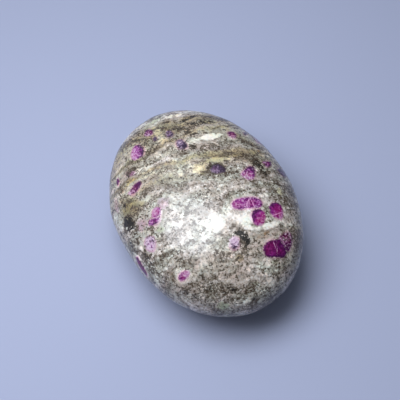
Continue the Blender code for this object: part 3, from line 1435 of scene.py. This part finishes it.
class NodeSheet:
    """The node tree of one material, light or world."""

    grain_smoothness = 0.35  # how far neighbouring grains run into each other

    def __init__(self, tree: bpy.types.NodeTree) -> None:
        """Keeps the tree."""
        self.tree = tree

    def node(self, kind: str, settings: dict[str, Any], values: dict[str | int, Any]) -> bpy.types.Node:
        """Adds a node.

        Args:
            kind: The node's type.
            settings: Its own properties, set first; "stops" fills a colour ramp.
            values: A number, tuple, Wire or socket for each of its inputs, by name or index.

        Returns:
            The node.
        """
        node = self.tree.nodes.new(kind)
        for name, value in settings.items():
            if name == "stops":
                self.fill_ramp(node.color_ramp, value)
            else:
                setattr(node, name, value)
        for name, value in values.items():
            socket = node.inputs[name]
            source = value.socket if isinstance(value, Wire) else value
            if isinstance(source, bpy.types.NodeSocket):
                self.tree.links.new(source, socket)
            elif socket.type == "RGBA":
                socket.default_value = (*source, 1.0)
            else:
                socket.default_value = source
        return node

    def fill_ramp(self, ramp: bpy.types.ColorRamp, stops: tuple[tuple[float, Colour], ...]) -> None:
        """Sets a colour ramp.

        Args:
            ramp: The ramp.
            stops: Its stops, each a place from 0 to 1 and a colour.
        """
        while len(ramp.elements) < len(stops):
            ramp.elements.new(1.0)
        for element, (place, colour) in zip(ramp.elements, stops):
            element.position = place
            element.color = (*colour, 1.0)

    def math(self, operation: str, *values: "Wire | float") -> Wire:
        """Adds a Math node.

        Args:
            operation: What it does.
            values: Its inputs in order.

        Returns:
            Its result.
        """
        node = self.node("ShaderNodeMath", {"operation": operation}, dict(enumerate(values)))
        return Wire(self, node.outputs[0])

    def vector(self, operation: str, *values: Any) -> bpy.types.NodeSocket:
        """Adds a Vector Math node.

        Args:
            operation: What it does.
            values: Its inputs in order.

        Returns:
            Its vector.
        """
        node = self.node("ShaderNodeVectorMath", {"operation": operation}, dict(enumerate(values)))
        return node.outputs[0]

    def mix(self, share: Wire | float, first: Any, second: Any, blend: str = "MIX") -> bpy.types.NodeSocket:
        """Mixes two colours.

        Args:
            share: How much of the second there is.
            first: A colour or a link to one.
            second: A colour or a link to one.
            blend: How they are mixed.

        Returns:
            The mixed colour.
        """
        settings = {"data_type": "RGBA", "blend_type": blend}
        return self.node("ShaderNodeMix", settings, {0: share, 6: first, 7: second}).outputs[2]

    def attribute(self, name: str) -> bpy.types.Node:
        """Adds a reader of one of the mesh's attributes."""
        return self.node("ShaderNodeAttribute", {"attribute_type": "GEOMETRY", "attribute_name": name}, {})

    def channels(self, vector: bpy.types.NodeSocket) -> list[Wire]:
        """Returns a vector's three numbers."""
        node = self.node("ShaderNodeSeparateXYZ", {}, {0: vector})
        return [Wire(self, output) for output in node.outputs]

    def noise(self, place: Any, cloud: Cloud) -> bpy.types.Node:
        """Adds a Noise Texture.

        Args:
            place: Where it is read.
            cloud: How it looks.

        Returns:
            The node, whose outputs are a value and a colour.
        """
        values = {"Vector": place, "Scale": cloud.scale, "Detail": cloud.detail, "Roughness": cloud.roughness}
        return self.node("ShaderNodeTexNoise", {}, values)

    def level(self, place: Any, cloud: Cloud) -> Wire:
        """Returns a Noise Texture's value, with the same arguments as for noise."""
        return Wire(self, self.noise(place, cloud).outputs[0])

    def shifted(self, place: Any, cloud: Cloud, reach: float) -> bpy.types.NodeSocket:
        """Shifts places irregularly.

        Args:
            place: The places.
            cloud: How the shift varies.
            reach: How far it goes.

        Returns:
            The shifted places.
        """
        noise = self.noise(place, cloud).outputs[1]
        centred = self.vector("SUBTRACT", noise, (0.5, 0.5, 0.5))
        return self.vector("MULTIPLY_ADD", centred, (reach, reach, reach), place)

    def grains(self, place: Any, scale: float) -> list[Wire]:
        """Draws three numbers that jump from grain to grain.

        Args:
            place: Where it is read.
            scale: How many grains there are to a millimetre.

        Returns:
            The numbers, from 0 to 1.
        """
        values = {"Vector": place, "Scale": scale, "Smoothness": self.grain_smoothness}
        node = self.node("ShaderNodeTexVoronoi", {"feature": "SMOOTH_F1"}, values)
        return self.channels(node.outputs["Color"])


@dataclass(frozen=True)
class Tint:
    """What a mineral does to the grains that it fills."""

    colour: Colour  # what it leaves of their light
    lift: float = 0.0  # how much lighter it makes them, on the ramp of greys
    calm: float = 0.0  # how much of the contrast between them it takes away
    broken: float = 1.0  # how much the grains break up its patches


@dataclass(frozen=True)
class FeldsparFinish:
    """The light part of the rock."""

    # Its greys from the darkest to the lightest grain, by place on a ramp.
    shades: tuple[tuple[float, Colour], ...] = (
        (0.0, (0.070, 0.060, 0.048)),
        (0.28, (0.198, 0.178, 0.153)),
        (0.50, (0.345, 0.321, 0.289)),
        (0.72, (0.528, 0.504, 0.463)),
        (1.0, (0.81, 0.80, 0.765)),
    )
    # What the minerals and stains make of it.
    tints: tuple[tuple[Mineral, Tint], ...] = (
        (Mineral.FELDSPAR, Tint((1.0, 1.0, 0.98), 0.44, 0.6)),
        (Mineral.CREAM, Tint((1.0, 0.95, 0.72), 0.16, 0.35)),
        (Mineral.HAZE, Tint((0.95, 0.76, 0.93), -0.02, 0.3)),
        (Mineral.OLIVE, Tint((0.88, 0.82, 0.60), -0.12, 0.0, 0.8)),
        (Mineral.RUST, Tint((0.78, 0.54, 0.36), -0.16, 0.0)),
        (Mineral.CHLORITE, Tint((0.86, 0.98, 0.80), 0.04, 0.6)),
        (Mineral.OCHRE, Tint((0.96, 0.83, 0.52), -0.10, 0.0, 0.35)),
        (Mineral.BLUSH, Tint((1.0, 0.92, 0.90), 0.0, 0.0)),
        # Smoke darkens and calms the grains; along the right rim it is painted shade.
        (Mineral.SMOKE, Tint((0.94, 0.96, 0.93), -0.24, 0.8)),
    )
    warm_grain: Colour = (1.08, 0.98, 0.88)  # the tint of the warmest grains
    cool_grain: Colour = (0.97, 1.0, 1.01)  # the tint of the coolest grains
    rosy_cloud: Colour = (1.03, 0.98, 0.985)  # the tint of the rosy clouds
    green_cloud: Colour = (0.97, 1.01, 0.97)  # the tint of the greenish clouds
    grain_tinting: float = 0.8  # how much of the grains' tint shows
    cloud_edges: Pair = (0.38, 0.62)  # where on their pattern the clouds are rosy and greenish
    halo: Tint = Tint((0.98, 1.0, 0.97), 0.24, 0.35)  # the clean feldspar around the rubies
    halo_reach: Pair = (1.3, 0.0)  # where it begins and where it is full, in millimetres from their edge
    halo_wobble: float = 1.2  # how much the clumps shift that
    blush: Colour = (0.98, 0.66, 0.86)  # the tint right beside the rubies
    blush_reach: Pair = (0.55, 0.1)  # where it begins and where it is full, in millimetres from their edge
    blush_wobble: float = 0.4  # how much the fine texture shifts that
    blush_least: float = 0.35  # how strong it is without a halo
    blush_gain: float = 1.2  # how much a full halo adds to it
    roughness: float = 0.17  # how rough its polish is


@dataclass(frozen=True)
class MicaFinish:
    """The dark mica; its flecks along the right rim and round the lower end are painted shade."""

    black: Colour = (0.014, 0.012, 0.010)  # the core of the clots
    brown: Colour = (0.066, 0.046, 0.030)  # the scattered flecks
    grey: Colour = (0.21, 0.175, 0.135)  # the weathered flecks among them
    roughness: float = 0.27  # how rough its polish is
    share: float = 0.315  # how much of the plain rock is mica
    in_light: Triple = (0.7, 0.5, 0.2)  # how much less in light clouds, lightened and calmed feldspar
    in_patches: float = 0.42  # how much more there is in its patches
    in_cores: float = 0.10  # how much more there is in their cores
    core: Pair = (0.65, 1.1)  # the amounts of mica at which a core begins and is full
    broken: float = 0.8  # how much the grains break up its patches
    grain_chances: Triple = (0.18, 0.48, 0.44)  # how much the large, coarse and small grains decide it
    fine_chance: float = 0.12  # how much the fine texture adds to that
    chance_base: float = -0.05  # what the sum of those begins at
    fleck_edge: float = 0.07  # how soft the flecks' edges are
    black_from: Pair = (0.3, 1.1)  # the amounts of mica at which it begins to be black and is black
    black_sway: float = 0.8  # how much the grains shift that
    grey_grains: Pair = (0.60, 0.85)  # where in the grains' hues the grey ones begin and are full
    grey_share: float = 0.8  # how grey they are
    grey_lost: float = 0.7  # how much less in cores
    grey_lost_from: Pair = (0.5, 1.0)  # the amounts of mica at which that begins and is full


@dataclass(frozen=True)
class RubyFinish:
    """The rubies."""

    # Their clear colour by violet share.
    hues: tuple[tuple[float, Colour], ...] = (
        (0.0, (0.28, 0.009, 0.13)),
        (0.40, (0.29, 0.030, 0.25)),
        (1.0, (0.13, 0.080, 0.148)),
    )
    deep: Colour = (0.22, 0.20, 0.24)  # what the darkest parts leave of it
    pale: Colour = (0.58, 0.44, 0.53)  # where feldspar has got into the crystal
    crack: Colour = (0.80, 0.40, 0.64)  # the light on a parting
    roughness: float = 0.10  # how rough their polish is
    # How far texture, clumps and grains shift the edge, in millimetres.
    edge_wobble: Triple = (0.5, 0.5, 0.25)
    mica_from: Pair = (0.5, 1.1)  # how patchy a ruby is where mica begins and is full in it
    cloud: Cloud = Cloud(0.42)  # the broad pattern in them
    spots: Cloud = Cloud(1.7, 2.0, 0.6)  # the finer pattern
    dot_scale: float = 2.6  # how many grains there are to a millimetre
    patchy: Pair = (1.9, 0.9)  # how much spots and grains show
    rim: Pair = (-0.9, -0.05)  # where the rim inside their edge begins and is full, in millimetres
    dark_sway: float = 0.9  # how much the broad pattern darkens them
    dark_patches: Pair = (0.3, 1.0)  # how much patches darken an even ruby, and what a patchy one adds
    dark_rim: float = 0.28  # how much darker the rim is
    dark_full: Pair = (0.0, 1.1)  # where the darkness is none and full
    violet_sway: float = 0.8  # how much the broad pattern turns them violet
    violet_rim: float = 0.22  # how much more violet the rim is
    pale_patches: Pair = (0.1, 0.7)  # how much patches lighten an even ruby, and how much more a patchy one
    pale_sway: float = 0.3  # how much the broad pattern lightens them
    pale_rim: float = 0.05  # how much less pale the rim is
    pale_full: Pair = (0.15, 0.9)  # where the paleness is none and full
    crack_edge: Pair = (0.13, 0.01)  # where a parting begins and is full, in millimetres from its middle
    crack_wobble: float = 0.25  # how crooked it is, in millimetres
    crack_share: float = 0.75  # how much of its light shows


@dataclass(frozen=True)
class RockPattern:
    """The sizes in the rock's pattern and how much each of them shows."""

    wander: Cloud = Cloud(0.12, 1.0)  # how the layers wander
    wander_reach: float = 1.0  # how far they do, in millimetres
    crook: Cloud = Cloud(1.2, 1.0)  # how crooked the grains' edges are
    crook_reach: float = 0.10  # how far they shift, in millimetres
    clump_shape: Triple = (1.0, 0.42, 0.42)  # how fast the clumps change across, along and up the layers
    layer_shape: Triple = (1.0, 0.20, 0.20)  # the same for the thin layers
    apart: Triple = (41.0, 17.0, 5.0)  # how far from the clumps the drift is read, in millimetres
    layers: Cloud = Cloud(0.40, 1.5)  # the thin layers
    patches: Cloud = Cloud(0.22)  # the wide patches
    clumps: Cloud = Cloud(0.75, 2.0, 0.55)  # the clumps
    fine: Cloud = Cloud(3.0, 1.0)  # the texture in the grains
    drift: Cloud = Cloud(0.30)  # the slow change of tint and contrast
    grain_scales: Triple = (0.95, 1.9, 3.6)  # large, coarse and small grains to a millimetre
    break_up: Triple = (1.3, 0.5, 0.3)  # how much clumps, coarse and large grains break up a patch
    thin: float = 0.4  # the amount of a mineral from which its patch is fully broken up
    # How much the large, coarse and small grains and the fine texture differ in lightness.
    grain: tuple[float, ...] = (0.26, 0.34, 0.24, 0.3)
    drift_edges: Pair = (0.35, 0.65)  # where on the drift the contrast of the grains is lowest and highest
    contrast: Pair = (0.6, 0.7)  # its lowest value, and how much it rises
    cloud: Triple = (0.85, 0.8, 0.8)  # how much the clumps, patches and layers differ in lightness
    cloud_share: float = 0.75  # how much of that shows in the feldspar
    mean_tone: float = 0.505  # the mean lightness on the ramp of greys


@dataclass(frozen=True)
class PolishFinish:
    """The polish over the whole skin."""

    refraction: float = 1.54  # its index of refraction
    roughness_sway: float = 0.06  # how much rougher light grains are than dark ones
    bump_strength: float = 0.35  # how strong the fine unevenness is
    bump_distance: float = 0.00004  # its height, in metres
    ruby_rise: float = 0.4  # how far the rubies stand out on it, as a part of that height
    mica_depth: float = 0.5  # how far the mica lies lower
    grain_sway: float = 0.3  # how much the grains differ in height


class PolishedRock:
    """The finish of the whole skin, read from the markings."""

    def __init__(self) -> None:
        """Chooses the pattern and the finishes of the rock's minerals."""
        self.pattern = RockPattern()
        self.polish = PolishFinish()
        self.feldspar = FeldsparFinish()
        self.mica = MicaFinish()
        self.ruby = RubyFinish()

    def build(self) -> bpy.types.Material:
        """Makes the material.

        Returns:
            The material.
        """
        material = bpy.data.materials.new("polished_ruby_in_albite")
        material.use_nodes = True
        sheet = NodeSheet(material.node_tree)
        shader = material.node_tree.nodes["Principled BSDF"]
        self.read_markings(sheet)
        self.grain_the_rock(sheet)
        rock = self.rock_colour(sheet)
        ruby_colour = self.ruby_colour(sheet)
        colour = sheet.mix(self.ruby_mask, rock, ruby_colour)
        material.node_tree.links.new(colour, shader.inputs["Base Color"])
        polish = self.polish
        rough = self.feldspar.roughness + self.flecks * (self.mica.roughness - self.feldspar.roughness)
        rough = swayed(rough, (self.tone, polish.roughness_sway))
        rough = rough + self.ruby_mask * (self.ruby.roughness - rough)
        material.node_tree.links.new(rough.socket, shader.inputs["Roughness"])
        height = self.ruby_mask * polish.ruby_rise - self.flecks * polish.mica_depth
        height = swayed(height, (self.tone, polish.grain_sway))
        unevenness = {"Strength": polish.bump_strength, "Distance": polish.bump_distance, "Height": height}
        bump = sheet.node("ShaderNodeBump", {}, unevenness)
        material.node_tree.links.new(bump.outputs[0], shader.inputs["Normal"])
        shader.inputs["IOR"].default_value = polish.refraction
        return material

    def read_markings(self, sheet: NodeSheet) -> None:
        """Reads what the mesh says of each place.

        Args:
            sheet: The material's nodes.
        """
        self.strata = sheet.attribute("strata").outputs["Vector"]
        self.ruby_form = sheet.channels(sheet.attribute("ruby_form").outputs["Vector"])
        self.ruby_tone = sheet.channels(sheet.attribute("ruby_tone").outputs["Vector"])
        self.ruby_place = sheet.attribute("ruby_place").outputs["Vector"]
        self.ruby_marks = sheet.channels(sheet.attribute("ruby_marks").outputs["Vector"])
        self.amounts: dict[Mineral, Wire] = {}
        for name in sorted({kind.value[0] for kind in Mineral}):
            parts = sheet.channels(sheet.attribute(name).outputs["Vector"])
            for kind in Mineral:
                if kind.value[0] == name:
                    self.amounts[kind] = parts[kind.value[1]]

    def grain_the_rock(self, sheet: NodeSheet) -> None:
        """Works out the grains, the layers and the dark flecks.

        Args:
            sheet: The material's nodes.
        """
        pattern = self.pattern
        feldspar = self.feldspar
        folded = sheet.shifted(self.strata, pattern.wander, pattern.wander_reach)
        grit = sheet.node("ShaderNodeTexCoord", {}, {}).outputs["Object"]
        grit = sheet.vector("MULTIPLY", grit, (1.0 / MM, 1.0 / MM, 1.0 / MM))
        grit = sheet.shifted(grit, pattern.crook, pattern.crook_reach)
        clotted = sheet.vector("MULTIPLY", folded, pattern.clump_shape)
        sheets = sheet.vector("MULTIPLY", folded, pattern.layer_shape)
        elsewhere = sheet.vector("ADD", clotted, pattern.apart)
        layers = sheet.level(sheets, pattern.layers)
        patches = sheet.level(clotted, pattern.patches)
        self.clumps = sheet.level(clotted, pattern.clumps)
        self.fine = sheet.level(grit, pattern.fine)
        self.cast, stir, _ = sheet.channels(sheet.noise(elsewhere, pattern.drift).outputs[1])
        large, coarse, small = [sheet.grains(grit, scale) for scale in pattern.grain_scales]
        self.hue = coarse[2]
        self.break_up = swayed(0.0, *zip((self.clumps, coarse[0], large[0]), pattern.break_up))
        grain = swayed(0.0, *zip((large[0], coarse[0], small[0], self.fine), pattern.grain))
        lowest, rise = pattern.contrast
        grain = grain * (stir.ease(*pattern.drift_edges) * rise + lowest)
        cloud = swayed(0.0, *zip((self.clumps, patches, layers), pattern.cloud))
        self.fills = {mineral: self.patched(mineral, tint.broken) for mineral, tint in feldspar.tints}
        near = (self.ruby_form[0] + self.break_up * feldspar.halo_wobble).ease(*feldspar.halo_reach)
        halo = near * self.ruby_marks[2]
        lift = halo * feldspar.halo.lift
        calm = halo * feldspar.halo.calm
        for mineral, tint in feldspar.tints:
            lift = lift + self.fills[mineral] * tint.lift
            calm = calm + self.fills[mineral] * tint.calm
        contrast = calm.ease(1.0, 0.0)
        self.tone = pattern.mean_tone + (grain + cloud * pattern.cloud_share) * contrast + lift
        self.scatter_mica((large[1], coarse[1], small[1]), cloud, lift, calm)
        self.fleck_hue = small[2]

    def scatter_mica(self, grains: tuple[Wire, Wire, Wire], cloud: Wire, lift: Wire, calm: Wire) -> None:
        """Works out which grains are mica; along the right rim and the lower end they are painted shade.

        Args:
            grains: The chances of the large, coarse and small grains.
            cloud: How light the clouds are.
            lift: How much the feldspar is lightened.
            calm: How much it is calmed.
        """
        mica = self.mica
        patches = self.patched(Mineral.MICA, mica.broken)
        core = self.amounts[Mineral.MICA].ease(*mica.core)
        in_clouds, in_lightened, in_calmed = mica.in_light
        share = mica.share - cloud * in_clouds - lift * in_lightened - calm * in_calmed
        share = share + patches * mica.in_patches + core * mica.in_cores
        of_large, of_coarse, of_small = mica.grain_chances
        chance = grains[0] * of_large + grains[1] * of_coarse + grains[2] * of_small
        chance = swayed(chance, (self.fine, mica.fine_chance)) + mica.chance_base
        self.flecks = (share - chance).ease(-mica.fleck_edge, mica.fleck_edge)

    def patched(self, mineral: Mineral, broken: float) -> Wire:
        """Breaks up a mineral's patches into clumps and grains.

        Args:
            mineral: The mineral.
            broken: How much.

        Returns:
            How much of it there is, from 0 to 1.
        """
        amount = self.amounts[mineral]
        return (amount + self.break_up * amount.ease(0.0, self.pattern.thin) * broken).ease(0.0, 1.0)

    def rock_colour(self, sheet: NodeSheet) -> bpy.types.NodeSocket:
        """Colours the rock between the rubies.

        Args:
            sheet: The material's nodes.

        Returns:
            Its colour.
        """
        finish = self.feldspar
        colour = sheet.node("ShaderNodeValToRGB", {"stops": finish.shades}, {0: self.tone}).outputs[0]
        grain_tint = sheet.mix(self.hue, finish.warm_grain, finish.cool_grain)
        colour = sheet.mix(finish.grain_tinting, colour, grain_tint, "MULTIPLY")
        cloud_tint = sheet.mix(self.cast.ease(*finish.cloud_edges), finish.rosy_cloud, finish.green_cloud)
        colour = sheet.mix(1.0, colour, cloud_tint, "MULTIPLY")
        for mineral, tint in finish.tints:
            colour = sheet.mix(self.fills[mineral], colour, tint.colour, "MULTIPLY")
        fringe = swayed(self.ruby_form[0], (self.fine, finish.blush_wobble)).ease(*finish.blush_reach)
        strength = (finish.blush_least + self.ruby_marks[2] * finish.blush_gain).ease(0.0, 1.0)
        colour = sheet.mix(fringe * strength, colour, finish.blush, "MULTIPLY")
        return sheet.mix(self.flecks, colour, self.mica_colour(sheet))

    def mica_colour(self, sheet: NodeSheet) -> bpy.types.NodeSocket:
        """Colours the dark flecks.

        Args:
            sheet: The material's nodes.

        Returns:
            Their colour.
        """
        finish = self.mica
        amount = self.amounts[Mineral.MICA]
        blackness = swayed(amount.ease(*finish.black_from), (self.hue, finish.black_sway))
        dark = sheet.mix(blackness.ease(0.0, 1.0), finish.brown, finish.black)
        greyness = finish.grey_share - amount.ease(*finish.grey_lost_from) * finish.grey_lost
        return sheet.mix(self.fleck_hue.ease(*finish.grey_grains) * greyness, dark, finish.grey)

    def ruby_colour(self, sheet: NodeSheet) -> bpy.types.NodeSocket:
        """Colours the rubies.

        Args:
            sheet: The material's nodes.

        Returns:
            Their colour.
        """
        finish = self.ruby
        edge, mottle, sharpness = self.ruby_form
        edge = swayed(edge, *zip((self.fine, self.clumps, self.hue), finish.edge_wobble))
        mica_in_ruby = self.flecks * mottle.ease(*finish.mica_from)
        self.ruby_mask = (edge * sharpness).ease(1.0, -1.0) * (1.0 - mica_in_ruby)
        cloud = sheet.noise(self.ruby_place, finish.cloud)
        broad = Wire(sheet, cloud.outputs[0])
        drift = sheet.channels(cloud.outputs[1])[1]
        spots = sheet.level(self.ruby_place, finish.spots)
        dots = sheet.grains(self.ruby_place, finish.dot_scale)
        patchy = swayed(0.0, *zip((spots, dots[0]), finish.patchy))
        dark, violet, pale = self.ruby_tone
        rim = edge.ease(*finish.rim)
        even, more = finish.dark_patches
        dark = swayed(dark, (broad, finish.dark_sway)) + patchy * (even + mottle * more)
        dark = dark + rim * finish.dark_rim
        violet = swayed(violet, (drift, finish.violet_sway)) + rim * finish.violet_rim
        even, more = finish.pale_patches
        pale = swayed(pale - patchy * (even + mottle * more), (drift, finish.pale_sway))
        pale = pale - rim * finish.pale_rim
        hue = sheet.node("ShaderNodeValToRGB", {"stops": finish.hues}, {0: violet}).outputs[0]
        colour = sheet.mix(dark.ease(*finish.dark_full), hue, sheet.mix(1.0, hue, finish.deep, "MULTIPLY"))
        colour = sheet.mix(pale.ease(*finish.pale_full), colour, finish.pale)
        for mark in self.ruby_marks[:2]:
            line = swayed(abs(mark), (spots, finish.crack_wobble)).ease(*finish.crack_edge)
            colour = sheet.mix(line * finish.crack_share, colour, finish.crack)
        return colour


class PalmStone:
    """The polished stone."""

    def __init__(self) -> None:
        """Takes its size from the frame."""
        low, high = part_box(NODE)
        size = (high - low) / MM
        self.form = StoneForm(size.x, size.y, size.z)
        self.camera = PhotoCamera(tuple(self.form.middle()))

    def build(self) -> bpy.types.Object:
        """Makes the stone and dresses it.

        Returns:
            The stone.
        """
        mesh = SkinGrid(self.form).build()
        skin = Skin(mesh, self.camera)
        foliation = Foliation()
        setter = CrystalSetter(skin, foliation)
        shown = [setter.seat(crystal) for crystal in CRYSTALS]
        hidden = setter.scatter(shown)
        markings = Markings(skin, foliation, shown + hidden)
        for mineral, rows in STREAK_ROWS.items():
            for row in rows:
                markings.lay_streak(mineral, Streak(*row))
        for band in BANDS:
            markings.lay_band(band)
        markings.settle()
        points = skin.points + skin.normals * markings.relief()[:, None]
        points[:, 2] = np.maximum(points[:, 2], 0.0)
        write_points(mesh, points)
        markings.store(mesh)
        mesh.materials.append(PolishedRock().build())
        stone = bpy.data.objects.new("palm_stone_skin", mesh)
        bpy.context.scene.collection.objects.link(stone)
        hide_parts(NODE)
        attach(stone, "root")
        faces = len(mesh.polygons)
        LOG.info("%s: %d rubies shown, %d hidden, %d faces", stone.name, len(shown), len(hidden), faces)
        return stone


@dataclass
class Studio:
    """The plain pale floor and the soft light."""

    floor_size: float = 6.0  # the floor's side, in metres
    floor_colour: Colour = (0.340, 0.368, 0.497)  # the floor's colour
    floor_roughness: float = 0.9  # how matt it is
    floor_shine: float = 0.2  # how much of the usual shine it has
    key_towards: Triple = (-0.30, -0.015, 0.965)  # to the key light: right, away and up in the photograph
    key_turn: float = 34.0  # how far its long side turns from right towards away, in degrees
    key_distance: float = 0.26  # how far off the key light is, in metres
    key_size: Pair = (0.33, 0.22)  # its width and height, in metres
    key_core: float = 0.45  # how far from its middle it starts to dim, as a part of the way to its edge
    key_power: float = 2.08  # in watts
    key_colour: Colour = (0.94, 0.985, 1.05)  # its colour
    sky_colour: Colour = (0.84, 0.90, 1.0)  # the colour of the light from all around
    sky_towards: Triple = (-0.62, 0.25, 0.74)  # where it is strongest: right, away and up in the photograph
    sky_edge: float = -0.2  # where it is weakest, as the cosine of the angle between the two
    sky_low: float = 0.03  # how strong it is from the other side
    sky_high: float = 0.50  # how strong it is from there

    def build(self, camera: PhotoCamera) -> None:
        """Makes the floor, the key light and the sky.

        Args:
            camera: The photograph's camera, which the lights' places are given from.
        """
        right = camera.axes()[0]
        lift = np.array([0.0, 0.0, 1.0])
        self.ground_axes = np.array([right, np.cross(lift, right), lift])
        self.build_floor()
        self.build_key(camera)
        self.build_sky()
        bpy.context.scene.view_settings.view_transform = "Standard"

    def build_floor(self) -> None:
        """Makes the floor."""
        sheet = bmesh.new()
        bmesh.ops.create_grid(sheet, x_segments=1, y_segments=1, size=self.floor_size / 2)
        mesh = bpy.data.meshes.new("floor")
        sheet.to_mesh(mesh)
        sheet.free()
        material = bpy.data.materials.new("pale_floor")
        material.use_nodes = True
        shader = material.node_tree.nodes["Principled BSDF"]
        shader.inputs["Base Color"].default_value = (*self.floor_colour, 1.0)
        shader.inputs["Roughness"].default_value = self.floor_roughness
        shader.inputs["Specular IOR Level"].default_value = self.floor_shine
        mesh.materials.append(material)
        floor = bpy.data.objects.new("floor", mesh)
        bpy.context.scene.collection.objects.link(floor)

    def build_key(self, camera: PhotoCamera) -> None:
        """Makes the large soft light.

        Args:
            camera: The photograph's camera.
        """
        right, away, _ = self.ground_axes
        towards = unit(np.array(self.key_towards) @ self.ground_axes)
        turn = math.radians(self.key_turn)
        long_side = math.cos(turn) * right + math.sin(turn) * away
        long_side = unit(long_side - (long_side @ towards) * towards)
        light = bpy.data.lights.new("soft_key", "AREA")
        light.shape = "RECTANGLE"
        light.size, light.size_y = self.key_size
        light.energy = self.key_power
        light.color = self.key_colour
        self.soften(light)
        lamp = bpy.data.objects.new("soft_key", light)
        place = Matrix.Translation(Vector(np.array(camera.middle) * MM + towards * self.key_distance))
        turned = Matrix((long_side, np.cross(towards, long_side), towards)).transposed().to_4x4()
        lamp.matrix_world = place @ turned
        bpy.context.scene.collection.objects.link(lamp)

    def soften(self, light: bpy.types.Light) -> None:
        """Makes a light dim from its middle to its edge, like a lamp behind a large diffuser.

        Args:
            light: The light.
        """
        light.use_nodes = True
        sheet = NodeSheet(light.node_tree)
        spot = sheet.node("ShaderNodeNewGeometry", {}, {}).outputs["Parametric"]
        spot = sheet.vector("MULTIPLY_ADD", spot, (2.0, 2.0, 0.0), (-1.0, -1.0, 0.0))
        away = sheet.node("ShaderNodeVectorMath", {"operation": "LENGTH"}, {0: spot}).outputs["Value"]
        strength = Wire(sheet, away).ease(1.0, self.key_core)
        light.node_tree.links.new(strength.socket, light.node_tree.nodes["Emission"].inputs["Strength"])

    def build_sky(self) -> None:
        """Makes the soft light from all around, strongest from one side."""
        world = bpy.data.worlds.new("studio")
        world.use_nodes = True
        sheet = NodeSheet(world.node_tree)
        background = world.node_tree.nodes["Background"]
        background.inputs["Color"].default_value = (*self.sky_colour, 1.0)
        direction = sheet.node("ShaderNodeTexCoord", {}, {}).outputs["Generated"]
        brightest = unit(np.array(self.sky_towards) @ self.ground_axes)
        both = {0: direction, 1: tuple(brightest)}
        facing = sheet.node("ShaderNodeVectorMath", {"operation": "DOT_PRODUCT"}, both).outputs["Value"]
        closeness = Wire(sheet, facing).ease(self.sky_edge, 1.0)
        strength = self.sky_low + closeness * (self.sky_high - self.sky_low)
        world.node_tree.links.new(strength.socket, background.inputs["Strength"])
        bpy.context.scene.world = world


def main() -> None:
    """Builds the stone, the camera and the studio."""
    logging.basicConfig(level=logging.INFO, format="%(name)s: %(message)s")
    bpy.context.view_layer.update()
    stone = PalmStone()
    stone.camera.build()
    stone.build()
    Studio().build(stone.camera)


if __name__ == "__main__":
    main()
